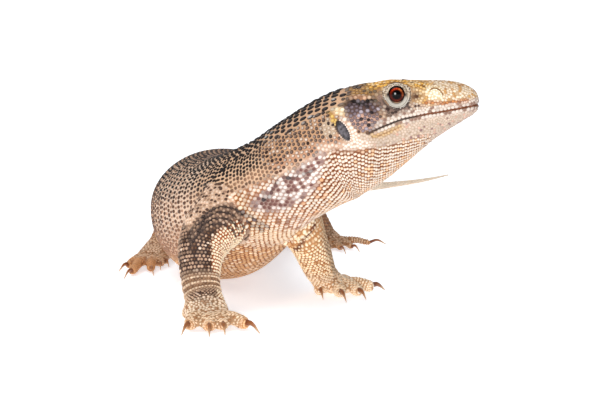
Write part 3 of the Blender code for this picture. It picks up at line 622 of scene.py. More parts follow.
def markings(places, on_hide, draw):
    """The colours of the skin between scales, of each scale's middle and of its rim."""
    number, along, turn = on_hide["path"], on_hide["along"], np.abs(on_hide["turn"])
    x, z = places[:, 0], places[:, 2]
    other = (draw * 7.31) % 1.0
    soft, broad, fine = clouds(places, 4.0, 3), clouds(places, 14.0, 8), clouds(places, 1.9, 6)
    colours = [np.tile(linear(shade), (len(places), 1)) for shade in ("#E2C2A8", "#120806", "#180C08")]

    def lay(weight, shades, *some):
        """Lays shades over the three colours, then more where a value has passed from start to end."""
        for value, start, end, tones in ((1, -1, 0, shades), *some):
            share = np.clip(weight * ease(value, start, end), 0, 1)[:, None]
            for i, tone in enumerate(tones.split()):
                if tone != "-":
                    colours[i] = mix(colours[i], linear(tone), share)

    def line(stops, at):
        return np.interp(at, *zip(*stops))

    def beside(path, width):
        return np.exp(-(off_line(places, path) / width) ** 2)

    def oval(x_at, z_at, half_long, half_wide, slant, start, end, rough=0.0):
        out = in_oval(places, x_at, z_at, half_long, half_wide, slant) + rough * (soft - 0.5)
        return 1 - ease(out, start, end)

    def dot(x_at, z_at, wide, high):
        return np.exp(-(((x - x_at) / wide) ** 2 + ((z - z_at) / high) ** 2))

    def on_paths(word):
        """1 on the legs and toes whose names hold a word."""
        return np.isin(number, [i for i, name in enumerate(path_names) if word in name]).astype(float)

    # Trunk: near black ovals in rings on tan skin, greyer on the ridge, smaller and redder down the flanks.
    body = (number == 0).astype(float)
    lay(body * (1 - ease(turn, 14, 34)), "#C8A890 #22140E #33211A")
    lay(body * ease(draw, 0.48, 0.56) * ease(along, 150, 170), "- #A3806A #B08E76")
    lay(body * ease(turn + 22 * broad, 68, 104), "#ECCCB2 #5A3A2A #6A4834")
    lay(body * ease(turn, 70, 100) * ease(draw, 0.5, 0.6), "- #B08468 #BE967A")
    lay(body * ease(turn + 18 * broad, 110, 134), "#D6AE90 #8E6146 #A4785A")
    lay(body * ease(turn + 6 * soft, 130, 144), "#8E5022 #DDB080 #BE8450",
        (draw, 0.7, 0.85, "- #F4DFC4 #D8AA7C"))
    # Neck: black-rimmed ovals in peach skin above, ringed scales on the side, black dashes at the shoulder.
    upper = body * (1 - ease(turn + 6 * soft, 92, 100))
    neck = upper * span(along, EAR_AT - 9, EAR_AT - 1, SHOULDER_AT + 2, SHOULDER_AT + 34)
    # Pale grey-white crowns on some nape scales, and pale crowns on some scales down the side of the neck, are
    # painted highlights.
    lay(neck, "#CFA685 #463C3A #120A08", (draw, 0.82, 0.9, "- #C8C2BE"))
    lay(neck * ease(turn, 48, 62), "#C29672 #7E6A60 #3E281E", (draw, 0.5, 0.58, "- #EADACC #8A6850"),
        (draw, 0.82, 0.9, "- #3A241B #2C1B15"), (turn, 76, 92, "#C29070"))
    dashes = upper * ease(along + 12 * (turn / 90), 100, 110)
    lay(dashes * (1 - ease(along, SHOULDER_AT + 10, SHOULDER_AT + 40)), "#DDB593 #150A07 #1E100B",
        (turn + 8 * soft, 80, 94, "#E4BC9A #8A644C #A47E62"))
    throat = body * ease(turn, 94, 102) * span(along, 30, 44, SHOULDER_AT + 2, SHOULDER_AT + 22)
    lay(throat, "#763A10 #E4D7CA #CCA47E", (draw + 0.5 * soft, 0.98, 1.2, "- #D6A27A #BE8458"),
        (along, 84, 104, "#A86E48 #E8D8CA #D2AC8C"))
    lay(throat * ease(along, 86, 108) * ease(other, 0.6, 0.68), "- #9E6850 #7E4A30")
    lay(throat * ease(along, 102, 116), "#9E6232 #F2DEC4 #DAB086")
    # Shoulder: a pale pink patch with purple-brown spots and a dark line runs from the jaw to the arm.
    patch = body * ease(turn - line(PATCH_TOP, along), -3, 2) * ease(line(PATCH_END, along) - turn, -4, 6)
    lay(patch * span(along, 64, 70, 105, 112), "#B4988C #E8DED8 #D0BCB2",
        (draw + 0.35 * soft + 0.009 * (along - 74), 0.88, 0.95, "- #744E48 #8E6A60"))
    # The dark grey line along the patch stands for a fold of the neck skin that the hide does not carry:
    # painted shade.
    crease = np.exp(-((turn - line(PATCH_LINE, along)) / 1.5) ** 2) * span(along, 75, 79, 101, 105)
    lay(body * crease * ease(fine, 0.2, 0.45) * 1.2, "#3A2E2E #4E4244 #3A2E2E")
    # Head: pale cheeks and snout with brown specks, dark crown and temple, yellow brow, cream nostril.
    head = body * (1 - ease(along + 3 * soft, EAR_AT - 3, EAR_AT + 1))
    above = z - mouth_height(x)
    lay(head, "#A5805F #DEC3A6 #C8A482", (draw, 0.66, 0.74, "- #54321F #7E5236"))
    lay(head * (1 - ease(turn + 8 * soft, 40, 52)) * (1 - ease(x, 30, 40)), "#A27A52 #4A3F3E #1D1412",
        (other, 0.55, 0.65, "- #B98C50 #6A4826"))
    lay(head * ease(x, 36, 44) * (1 - ease(turn, 30, 44)), "#A07C4C #D6B27C #B08852")
    snout = head * ease(x, 44, 52) * ease(above, 2.6, 4.4)
    lay(snout, "#C9A882 #EEDDC8 #DAC2A2", (draw + 0.3 * fine, 0.84, 0.94, "- #CE9C62 #B8854E"),
        (other, 0.9, 0.95, "- #9A6844 #A87650"))
    lay(snout * np.exp(-((x - 50.5) / 4.5) ** 2) * ease(above, 4.0, 6.0) * 0.55, "#A87A40 #E4BC74 #C8974E")
    brow = head * np.exp(-((z - line(BROW_LINE, x)) / 1.5) ** 2) * span(x, 25, 30, 53, 58)
    lay(brow * 1.2, "#9E6A24 #F2BC56 #D2963A")
    lay(brow, "", (draw, 0.55, 0.63, "- #F4DEB4 #DCB06A"), (other, 0.76, 0.84, "- #5A3A1C #7A5226"))
    lay(head * dot(48.8, 104.4, 1.9, 1.5) * 1.2, "#4A2C1A #4E2F1E #6A4630")
    # The dark temple: the pale violet-grey crowns on some of its scales are painted highlights.
    lay(head * oval(25.6, 96.9, 10.2, 6.4, -26.0, 0.82, 1.12, 0.5), "#5A4038 #76666C #403032",
        (97.5 - z + 4 * (soft - 0.5), 0, 3, "#C49A86 #7C6A6C #54403C"), (draw, 0.76, 0.84, "- #A89CA4 #5E4E50"),
        (other, 0.75, 0.85, "- #2C2224"))
    lay(head * dot(34.2, 97.6, 1.8, 1.3), "#C99A6C #EDC8A0 #DCAF84")
    lay(head * oval(23.4, 103.9, 4.6, 1.2, 2.0, 0.7, 1.2), "#9A6E50 #CFA688 #AC8468")
    lay(head * oval(42.0, 98.6, 9.5, 2.5, 8.0, 0.8, 1.2, 0.5), "#9A8070 #C8AC94 #AC8E78",
        (other, 0.36, 0.44, "- #4A362C #5E463A"), (other, 0.84, 0.9, "- #E6D8C8 #CDB8A4"))
    from_eye = np.hypot(x - EYE_X, z - EYE_Z)
    lay(head * np.exp(-((from_eye - 7.6) / 1.3) ** 4) * ease(EYE_Z - z + 0.4 * (EYE_X - x), 1.0, 4.0),
        "#8A6E60 #BCA796 #8E7466", (draw, 0.4, 0.46, "- #3A2A24 #54403A"))
    lay(head * np.exp(-((from_eye - 6.5) / 0.6) ** 2) * ease(EYE_Z - z, 0.5, 3.0), "#4A3B35 #54453F #4A3B35")
    # Near black along the groove of the temple fold: painted shade in the crease.
    lay(head * beside(TEMPLE_FOLD, 0.8) * 1.4, "#1A1210 #1E1513 #1A1210")
    under = head * ease(-above, -0.3, 0.6)
    lay(under, "#B89E88 #CEB9A7 #C2AA96", (draw + 0.5 * soft, 1.1, 1.22, "- #CC9E8C #D6B09C"))
    lay(under * ease(other, 0.88, 0.93) * ease(x, 30, 40), "- #8E6E6A #A88A80")
    lay(head * (1 - ease(np.abs(above - 0.6), 2.0, 3.2)) * ease(x, 27, 34), "#B79F8E #DACABE #CCBAAC",
        (draw + 0.2 * fine, 0.86, 0.94, "- #8A6A5C #A88C7C"))
    # An ochre band along the groove of the cheek fold below the mouth corner: painted shade in the fold.
    lay(head * beside(CHEEK_FOLD, 1.1), "#A47A4C #D4B07E #BE9664")
    lay(head * beside(LIP_EDGE, 0.75), "#8A4A20 #C4804A #A8622E")
    lay(body * ease(line(THROAT_EDGE, x) - z, -0.5, 1.2) * span(x, 8, 12, 50, 60), "#763A10 #E4D7CA #CCA47E",
        (draw + 0.5 * soft, 1.06, 1.24, "- #E6C09C #CE9C70"))
    lay(head * oval(NOSTRIL_X - 0.6, NOSTRIL_Z - 0.6, 4.4, 3.0, -15.0, 0.75, 1.15), "#D9BE92 #FAF0DA #EBD8B4")
    lay(body * oval(EAR_X + 3.9, EAR_Z - 1.6, 2.5, 8.6, 32.0, 0.8, 1.25), "#CDA88E #F0DED0 #DEC2AE")
    lay(body * beside(JAW_BAND, 1.7), "#C9A68E #F0DFD2 #DEC4B0")
    # Darker brown along the groove of the jaw fold: painted shade in the crease.
    lay(body * beside(JAW_FOLD, 0.6), "#8A5634 #B27E58 #8A5634")
    lay(body * oval(EAR_X - 6.2, EAR_Z + 0.6, 4.0, 4.6, 0.0, 0.6, 1.15), "#C2A88E #3E2E2A #2A1C18",
        (draw, 0.5, 0.6, "- #E6D4C0 #A88C74"))
    lay(body * oval(EAR_X - 1.6, EAR_Z + 8.4, 3.0, 1.9, -20.0, 0.7, 1.2), "#D9BE98 #F8EAD2 #E8D0AA")
    lay(body * oval(EAR_X - 4.2, EAR_Z + 5.0, 1.3, 4.0, 32.0, 0.7, 1.2), "#AE8444 #E8C878 #C89C50")
    # The inside of the ear and nostril, and the line of the mouth, painted dark: painted shade in the openings
    # and in the groove of the mouth.
    lay(body * oval(EAR_X, EAR_Z, EAR_HALF[0] + 0.3, EAR_HALF[2] + 0.3, 32.0, 0.9, 1.0), "#2E2420")
    lay(head * beside(NOSTRIL_ARCH, 0.4), "#A87C4E")
    lay(head * np.exp(-(above / 0.6) ** 4) * ease(x, 26.0, 27.5), "#2A1006 #4A2614 #3C1C0E")
    lay(head * np.exp(-(above / 0.5) ** 2) * ease(x, 46, 54), "#8E4A20 #A4602E #8E4A20")
    # Back: rows of pale spots with dark edges, one every 23 mm, that fade towards the shoulders.
    off_spot = np.hypot((along + 3.0 * broad) % 23.0 - 11.5, np.abs(on_hide["arc"]) % 15.0 - 7.5)
    back = body * span(along, 222, 250, HIP_AT + 20, HIP_AT + 40) * (1 - ease(turn, 86, 104))
    lay(back * (1 - ease(off_spot, 4.2, 5.4)) * 0.8, "#8A6E5A #2A1A13 #33221A")
    lay(back * (1 - ease(off_spot, 2.4, 3.4)), "#D6BC9C #EBD8B8 #DCC49E")
    # Tail: darker rings that fade into a cream tip.
    ring = 0.5 + 0.5 * np.sin(along / 13.0 * math.pi + 1.2 * broad)
    lay(body * ease(along, HIP_AT + 30, HIP_AT + 60), "#8C6A50 #D0AC8C #A98468",
        (ring, 0.5, 0.8, "#4E3626 #5A4232 #3A291F"), (along, 560, 630, "#E4CCB2 #F6E6D2 #ECD6BE"))
    # Legs: dark skin with tan rows outside, cream with orange between the scales in front, tan feet.
    below, folds = below_arm_edge(on_hide)
    for name in LEGS:
        leg = (number == path_names.index(name)).astype(float)
        inward = on_hide["turn"] * (-1 if name.startswith("right") else 1)
        if name == "right_front":
            lay(leg, "#35201A #CAA88E #A5826A", (draw, 0.78, 0.86, "- #EEDCCC #D2B094"),
                (other, 0.74, 0.82, "- #6A4830 #4A2E1E"))
            bands = ease(np.cos(along * 2 * math.pi / 4.3 + 2.4 * soft), 0.1, 0.7) * span(along, 34, 42, 66, 72)
            lay(leg * bands * (1 - ease(inward, 50, 90)) * 0.6, "#2A180E #5E4432 #3A2618")
            lay(leg * (1 - ease(below, 5, 15)) * (1 - ease(on_hide["turn"], -14, 6)) * 0.8,
                "#8A6C5A #B89A84 #94765F")
            lay(leg * (1 - ease(below + 2 * soft, -1.4, 1.0)), "#D2AE92 #8A6A56 #A6866E",
                (draw, 0.5, 0.56, "- #F0D8C4 #D8B69C"), (1 - draw, 0.64, 0.7, "- #4A3228 #5E4436"))
            cream = ease(inward + 10 * (soft - 0.5) - line(ARM_CREAM, along), -5, 5) * ease(below, 0, 2)
            lay(leg * cream * (1 - ease(inward, 150, 175)), "#A0562A #FFF8E8 #F2DAB4")
        elif name == "left_front":
            lay(leg, "#A0602E #FFF0D6 #F0D0A4", (draw, 0.8, 0.88, "- #D8A878 #C08A58"))
            lay(leg * (1 - ease(inward, 18, 34)), "#7E5C40 #E2C8A8 #B4926E")
            lay(leg * (1 - ease(along, 22, 32)), "#BE8858")
            # Dark brown in the elbow crease, where the hide has a deep fold: painted shade in the crease.
            elbow = np.exp(-((along - line(ELBOW_CREASE, inward)) / 0.9) ** 2) * span(inward, 20, 34, 118, 130)
            lay(leg * elbow * 1.2, "#4E1E0C - #7E4222")
        else:
            lay(leg, "#74452A #C2926A #986A48")
            lay(leg * (1 - ease(along, 15, 50)), "#A88A72 #806452 #5E4838")
            lay(leg * ease(draw, 0.62, 0.76), "- #E2C4A2 #B08A66")
        if name in WRISTS:
            down = along - WRISTS[name]
            wrist = leg * np.exp(-((down - 4.5) / 5.0) ** 4)
            lay(wrist, "#B48E70 #F4DEC6 #DEBE9E")
            lay(wrist * (1 - ease(inward, 40, 70)) * ease(-on_hide["turn"], -200, 0) * 0.3,
                "#6E4E38 #B08C70 #886850")
            # Darker rings in the wrist's fold grooves: painted shade in the creases.
            lay(wrist * ease(np.cos(down * 2 * math.pi / 3.0), 0.1, 0.7), "#5A3C28 #A07C5E #7C5A40")
        lay(leg * (1 - ease(z + 2 * soft, 9, 16)), "#A88260 #F4E0CA #D8BA9A",
            (draw, 0.8, 0.88, "- #9A6C4A #B28460"))
    # Dark grey lines along the armpit folds, which the hide does not carry: painted shade of the folds.
    armpit = body * ease(-places[:, 1], 244, 249) * ease(along, 104, 109) * ease(-on_hide["turn"], 60, 80)
    for fold in ARMPIT_FOLDS:
        lay(armpit * beside(fold, 0.75), "#30262A #6E6266 #453A3C")
    # Near black in the bottoms of the arm's folds under its dark edge: painted shade in the creases.
    lay(folds, "#1E1514 #5A4842 #30241F")
    lay(on_paths("toe"), "#AC8460 #F6E0C8 #DCBA96", (draw, 0.82, 0.9, "- #9A6A46 #B28058"),
        (along, 11, 17, "#B2784A #ECBE92 #D49C6A"))
    # The left front foot, which stands in shade, is painted lighter than the other feet: painted light.
    lay(on_paths("left_front") * (1 - ease(z, 6, 14)), "#C4946A #FFF1DC #F2D0A8")
    lay(on_paths("hind") * 0.45, "#74421E #B87C48 #8E5A30")
    return colours


# The unwrap: the body and head, the tail, the legs and the toes side by side, 480 mm to one side.
UNWRAP_MM = 480.0


def unwrap(on_hide):
    """Where a place on the hide lies on the unwrap of its own surface."""
    number, along, arc = on_hide["path"], on_hide["along"], on_hide["arc"]
    u, v = along + 5.0, arc + 108.0
    tail = (number == 0) & (along > 415.0)
    u, v = np.where(tail, along - 410.0, u), np.where(tail, arc + 262.0, v)
    for i, name in enumerate(path_names[1:], 1):
        mine = number == i
        leg = list(LEGS).index(name.split("_toe_")[0])
        if "_toe_" in name:
            toe = int(name[-1]) - 1
            u = np.where(mine, along + 5.0 + leg * 118.0 + (toe % 3) * 38.0, u)
            v = np.where(mine, arc + 422.0 + (toe // 3) * 30.0, v)
        else:
            u, v = np.where(mine, along + 5.0 + leg * 118.0, u), np.where(mine, arc + 360.0, v)
    return np.stack((u, v), axis=1) / UNWRAP_MM


def paint(mesh, colours):
    layer = mesh.attributes.new("tint", "FLOAT_COLOR", "POINT")
    layer.data.foreach_set("color", np.concatenate((colours, np.ones((len(colours), 1))), axis=1).ravel())


places = corners(hide)
on_hide = place_on_hide(places)
paint(hide.data, markings(places, on_hide, np.full(len(places), 0.5))[0])

# The unwrap of the hide: each face lies round the place of its own middle.
faces = hide.data.polygons
middles, normals = read(faces, "center"), read(faces, "normal")
on_faces = place_on_hide(middles)
loops = read(hide.data.loops, "vertex_index", int, 1)[:, 0]
owners = np.repeat(np.arange(len(faces)), read(faces, "loop_total", int, 1)[:, 0])
ways = np.zeros((len(faces), 3))
for n, path in enumerate(paths.values()):
    mine = np.flatnonzero(on_faces["path"] == n)
    rows = np.clip(np.searchsorted(path["along"], on_faces["along"][mine]), 0, len(path["along"]) - 1)
    ways[mine] = path["way"][rows, path["way"].shape[1] // 2]
ways = unit(ways - normals * (ways * normals).sum(1, keepdims=True))
apart = places[loops] - middles[owners]
flat = np.stack([(apart * way[owners]).sum(1) for way in (ways, np.cross(normals, ways))], axis=1) / UNWRAP_MM
layer = hide.data.uv_layers.new(name="OFBake")
layer.data.foreach_set("uv", (unwrap(on_faces)[owners] + flat).ravel())


def mottled_tint(tree, scale, detail, dark, light):
    """The painted colour, made darker and lighter by a fine noise: gives the place, noise and colour."""
    tint = add_node(tree, "ShaderNodeAttribute", attribute_name="tint")
    where = add_node(tree, "ShaderNodeTexCoord").outputs["Object"]
    mottle = add_node(tree, "ShaderNodeTexNoise", {"Vector": where, "Scale": scale, "Detail": detail})
    level = add_node(tree, "ShaderNodeMapRange",
                     {"Value": mottle.outputs["Fac"], "To Min": dark, "To Max": light})
    shaded = add_node(tree, "ShaderNodeVectorMath",
                      {"Vector": tint.outputs["Color"], "Scale": level.outputs["Result"]}, operation="SCALE")
    return where, mottle.outputs["Fac"], shaded.outputs["Vector"]


# Living skin: thin keratin over moist tissue, satin, with fine creases between the scales.
skin, tree, shader = new_material("folded_reptile_skin")
where, mottle, colour = mottled_tint(tree, 900.0, 3.0, 0.78, 1.18)
creases = add_node(tree, "ShaderNodeTexVoronoi", {"Vector": where, "Scale": 1400.0}, feature="DISTANCE_TO_EDGE")
bump = add_node(tree, "ShaderNodeBump",
                {"Height": creases.outputs["Distance"], "Strength": 0.5, "Distance": 0.0003})
set_inputs(shader, {"Base Color": colour, "Roughness": 0.62, "IOR": 1.45, "Normal": bump.outputs["Normal"]})


def hand_over(item, material, nodes=()):
    """Finishes a piece and moves it from mm to the frame, with what it rides on, stands for and is made of."""
    item.data.materials.clear()
    item.data.materials.append(material)
    item.data.shade_smooth()
    places = (corners(item) - ORIGIN) * MM
    places[:, 2] = np.maximum(places[:, 2], 0.0)
    set_corners(item, places)
    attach(item, "root")
    if nodes:
        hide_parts(*nodes)


flesh_nodes = ["head", "neck", "torso", "tail_base", "tail_middle", "tail_end", "tail_tip"]
flesh_nodes += [f"{leg}_{part}" for leg in LEGS for part in ("upper", "lower", "foot")]
hand_over(hide, skin, flesh_nodes)

# The scales
# Beads of horn that stand in the skin without overlapping, in rings round the body and down the limbs,
# large ovals on the nape, oblong on the belly, many-sided on the head, with granules in all the gaps.
draws = np.random.default_rng(11)
laid = []


def dome(sides, rings, power, core):
    """A scale of unit size: places on a few rings and a top, faces, and how near the rim each place is."""
    places, near = [], []
    for radius, high in rings:
        for k in range(sides):
            angle = 2 * math.pi * (k + 0.5) / sides
            c, s = math.cos(angle), math.sin(angle)
            stretch = radius / (abs(c) ** power + abs(s) ** power) ** (1 / power)
            places.append((c * stretch, s * stretch, high))
            near.append(float(ease(radius, *core)))
    last = (len(rings) - 1) * sides
    tops = [(last + k, last + (k + 1) % sides, last + sides) for k in range(sides)]
    return np.array(places + [(0.0, 0.0, 1.0)]), ring_faces(len(rings), sides) + tops, np.array(near + [0.0])


SHAPES = {
    "oval": dome(8, [(1.0, -0.5), (0.86, 0.5), (0.5, 0.93)], 2.0, (0.2, 0.85)),
    "oblong": dome(8, [(1.0, -0.5), (0.9, 0.6), (0.55, 0.95)], 3.2, (0.45, 1.05)),
    "plain": dome(7, [(1.0, -0.5), (0.88, 0.6), (0.5, 0.95)], 2.3, (0.5, 1.05)),
    "grain": dome(5, [(1.0, -0.4), (0.6, 0.8)], 2.0, (0.4, 1.1)),
}


def lattice(path_name, start, end, pitch, width, from_turn, to_turn, jitter, only=None):
    """Scale places in staggered rings round a path, wide and long as asked, in degrees off the back line."""
    path = paths[path_name]
    along, turn = path["along"], np.degrees(path["turn"])
    mine = (np.abs(turn) >= from_turn - 1) & (np.abs(turn) <= to_turn + 1)
    stretch = np.linalg.norm(path["way"], axis=2) / np.gradient(along)[:, None]
    rings = run_up(np.diff(along) * (stretch[:, mine].max(1) / np.interp(along, *pitch))[1:])
    first, last = np.interp((start, end), along, rings)
    found = []
    for number, at in enumerate(np.arange(math.ceil(first), last)):
        if only is not None and number % 2 != only:
            continue
        s = np.interp(at, rings, along)
        row = np.interp(s, along, np.arange(len(along)))
        low = min(int(row), len(along) - 2)
        grid, facing, way, arc = (mix(path[key][low], path[key][low + 1], row - low)
                                  for key in ("grid", "facing", "way", "arc"))
        wide = width(s, np.abs(turn))
        units = run_up(np.diff(arc) / ((wide[1:] + wide[:-1]) / 2))
        total = max(4, 2 * round(units[-1] / 2))
        units *= total / units[-1]
        wants = np.arange(total) + 0.5 * (number % 2) + draws.uniform(-jitter, jitter, total)
        own_turn = np.abs(np.interp(wants, units, turn))
        wants = wants[(own_turn >= from_turn) & (own_turn <= to_turn)]
        step = np.interp(at + 0.5, rings, along) - np.interp(at - 0.5, rings, along)
        for index in np.interp(wants, units, np.arange(len(turn))):
            k = min(int(index), len(turn) - 2)
            place, out, ahead = (mix(each[k], each[k + 1], index - k) for each in (grid, facing, way))
            long = np.linalg.norm(ahead) / (along[low + 1] - along[low]) * step
            found.append((*place, *out, *unit(ahead), long / 2, wide[k] / 2, s, turn[k]))
    return np.array(found).reshape(-1, 13)


LANDING_REACH, CROWDED = 3.0, 0.62


def settle(found):
    """Lands scale places on the hide and drops those that miss it or crowd others laid before."""
    before, kept = tree_over(laid), []
    for row in found:
        out = unit(row[3:6])
        place, facing, _, _ = hide_tree.ray_cast(
            Vector(row[0:3] + out * LANDING_REACH), -Vector(out), 2 * LANDING_REACH)
        if place is None or facing.dot(Vector(out)) < 0.25:
            continue
        if laid:
            _, i, apart = before.find(place)
            if apart < CROWDED * (min(row[9], row[10]) + min(laid[i][9], laid[i][10])):
                continue
        kept.append((*place, *facing, *row[6:13]))
    return kept


def clear_of_openings(places):
    """True where a scale may stand: off the eyes, ears, nostrils and the line of the mouth."""
    on_head = (places[:, 0] > 8.0) & (places[:, 2] > 60.0)
    above_eye = places[:, 2] - EYE_Z
    eye = np.hypot((places[:, 0] - EYE_X) / 6.5, above_eye / np.where(above_eye > 0, 5.6, 6.4)) < 1.0
    eye &= np.abs(places[:, 1] - HEAD_Y) > 6.0
    ear = in_oval(places, EAR_X, EAR_Z, EAR_HALF[0] + 0.3, EAR_HALF[2] + 0.3, EAR_SLANT) < 1.0
    nostril = off_line(places, NOSTRIL_ARCH) < 0.45
    mouth = (np.abs(places[:, 2] - mouth_height(places[:, 0])) < 0.4) & (places[:, 0] > 28.0)
    return ~(on_head & (eye | ear | nostril | mouth))


groups = {}


def lay_scales(group, found, shape, cover, high, check=True, scatter=0.06, tints=None, fate=(0.0, 1.0)):
    """Keeps a set of scales for its piece, with the share of its room that each covers and its height."""
    found = np.array(found).reshape(-1, 13)
    if check:
        found = found[clear_of_openings(found[:, 0:3])]
    laid.extend(found.tolist())
    size = np.array(cover) * draws.normal(1.0, scatter, (len(found), 2)).clip(0.8, 1.2)
    found[:, 9:11] *= size
    high = high(found[:, 0:3]) if callable(high) else np.full(len(found), high)
    groups.setdefault(group, []).append((shape, found, high, tints, fate))


def make_scales(group):
    """One joined mesh of a group's scales, painted and unwrapped scale by scale."""
    places, blocks, tints, patches, count = [], [], [], [], 0
    for shape, found, high, own_tints, fate in groups[group]:
        form, faces, near = SHAPES[shape]
        out = unit(found[:, 3:6])
        ahead = unit(found[:, 6:9] - out * (found[:, 6:9] * out).sum(1, keepdims=True))
        sizes = form[None] * np.stack((found[:, 9], found[:, 10], high), axis=1)[:, None]
        made = found[:, None, 0:3]
        for i, way in enumerate((ahead, np.cross(out, ahead), out)):
            made = made + way[:, None] * sizes[..., i:i + 1]
        on_hide = place_on_hide(found[:, 0:3])
        skin_between, middle, rim = markings(found[:, 0:3], on_hide, draws.uniform(*fate, len(found)))
        if shape == "grain":
            middle, rim = skin_between * 1.15, skin_between * 0.8
        if own_tints is not None:
            middle, rim = own_tints
        shade = draws.normal(1.0, 0.07, (len(found), 1)).clip(0.8, 1.25)
        tints.append((mix(middle[:, None], rim[:, None], near[None, :, None]) * shade[:, None]).reshape(-1, 3))
        places.append(made.reshape(-1, 3))
        patches.append((unwrap(on_hide)[:, None] + form[None, :, 0:2] * 0.0015).reshape(-1, 2))
        base = count + np.arange(len(found)) * len(form)
        blocks += [base[:, None] + np.array(face)[None] for face in faces]
        count += len(found) * len(form)
    places, tints, patches = map(np.concatenate, (places, tints, patches))
    mesh = bpy.data.meshes.new(group)
    order = np.concatenate([block.ravel() for block in blocks])
    totals = np.concatenate([np.full(len(block), block.shape[1]) for block in blocks])
    mesh.vertices.add(len(places))
    mesh.vertices.foreach_set("co", places.ravel())
    mesh.loops.add(len(order))
    mesh.loops.foreach_set("vertex_index", order)
    mesh.polygons.add(len(totals))
    mesh.polygons.foreach_set("loop_start", run_up(totals)[:-1].astype(int))
    mesh.polygons.foreach_set("loop_total", totals)
    mesh.update(calc_edges=True)
    paint(mesh, tints)
    layer = mesh.uv_layers.new(name="OFBake")
    layer.data.foreach_set("uv", patches[order].ravel())
    hand_over(set_up(group, mesh), horn_scales)


# Scale horn: keratin, a little glossy, its roughness and colour varied by a fine noise.
horn_scales, tree, shader = new_material("keratin_scale_horn")
_, mottle, colour = mottled_tint(tree, 1500.0, 2.0, 0.82, 1.16)
sheen = add_node(tree, "ShaderNodeMapRange", {"Value": mottle, "To Min": 0.3, "To Max": 0.55})
bump = add_node(tree, "ShaderNodeBump", {"Height": mottle, "Strength": 0.25, "Distance": 0.0002})
set_inputs(shader, {"Base Color": colour, "Roughness": sheen.outputs["Result"], "IOR": 1.54,
                    "Specular IOR Level": 0.2, "Normal": bump.outputs["Normal"]})


def lay_rings(group, path, ends, turns, pitch, width, jitter, shape, cover, high, only=None, **more):
    """Lays rings of scales round a stretch of a path, between two turns off the back line."""
    found = settle(lattice(path, *ends, pitch, width, *turns, jitter, only))
    lay_scales(group, found, shape, cover, high, **more)


def wide_by(stops, sizes):
    """A width that changes along the path and is the same all round a ring."""
    return lambda s, turn: np.full(len(turn), np.interp(s, stops, sizes))


def row_beside(line, offset, long, wide):
    """Scale places in a row beside a line of the head, on both its sides."""
    line = np.array(line, float)
    at = run_up(np.linalg.norm(np.diff(line, axis=0), axis=1))
    count = max(1, round(at[-1] / long))
    found = []
    for here in (np.arange(count) + 0.5) * at[-1] / count:
        (x, x_before, x_after), (z, z_before, z_after) = (
            np.interp((here, here - 0.3, here + 0.3), at, line[:, i]) for i in (0, 1))
        way = unit(np.array((x_after - x_before, 0.0, z_after - z_before)))
        for side in (-1, 1):
            place, facing = skin_at(x - way[2] * offset, z + way[0] * offset, side)
            found.append((*place, *facing, *way, at[-1] / count / 2, wide / 2, 0.0, 0.0))
    return found


def ear_place(wide, long):
    """The x and z of a place in the slanting oval of the ear, by mm across it and along it."""
    slant = math.radians(EAR_SLANT)
    return (EAR_X + wide * math.cos(slant) - long * math.sin(slant),
            EAR_Z + wide * math.sin(slant) + long * math.cos(slant))


# Lips, the ear's edge and the folds over the nostril: single rows that follow their lines.
LIP_START = 75.0
LIP_LINE = [(LIP_START, mouth_height(LIP_START))] + [point for point in MOUTH_LINE if point[0] < LIP_START]
for offset in (-1.1, 1.1):
    lay_scales("head_scales", row_beside(LIP_LINE, offset, 1.75, 1.5), "oblong", (1.0, 0.96), 0.12, False)
ear_edge = [ear_place((EAR_HALF[0] + 0.4) * math.cos(turn), (EAR_HALF[2] + 0.4) * math.sin(turn))
            for turn in np.linspace(0, 2 * math.pi, 49)]
lay_scales("head_scales", row_beside(ear_edge, 0.0, 1.05, 1.0), "plain", 0.94, 0.3, False)
for offset in (-0.62, 0.62):
    lay_scales("head_scales", row_beside(NOSTRIL_ARCH, offset, 1.0, 0.85), "plain", (1.0, 0.94), 0.22, False)

# The hide in triangles, to lay scales by area where they stand in no rows.
triangles = np.array([[f.vertices[0], f.vertices[i], f.vertices[i + 1]]
                      for f in hide.data.polygons for i in range(1, len(f.vertices) - 1)])
hide_places = corners(hide) / MM + ORIGIN
a, b, c = (hide_places[triangles[:, i]] for i in range(3))
cross = np.cross(b - a, c - a)
areas = np.linalg.norm(cross, axis=1) / 2
triangle_middles = (a + b + c) / 3
triangles_on_hide = place_on_hide(triangle_middles)


def drop_on(chosen):
    """A random place on each of the chosen triangles."""
    r1, r2 = np.sqrt(draws.uniform(0, 1, len(chosen))), draws.uniform(0, 1, len(chosen))
    return (a[chosen] * (1 - r1)[:, None] + b[chosen] * (r1 * (1 - r2))[:, None]
            + c[chosen] * (r1 * r2)[:, None])


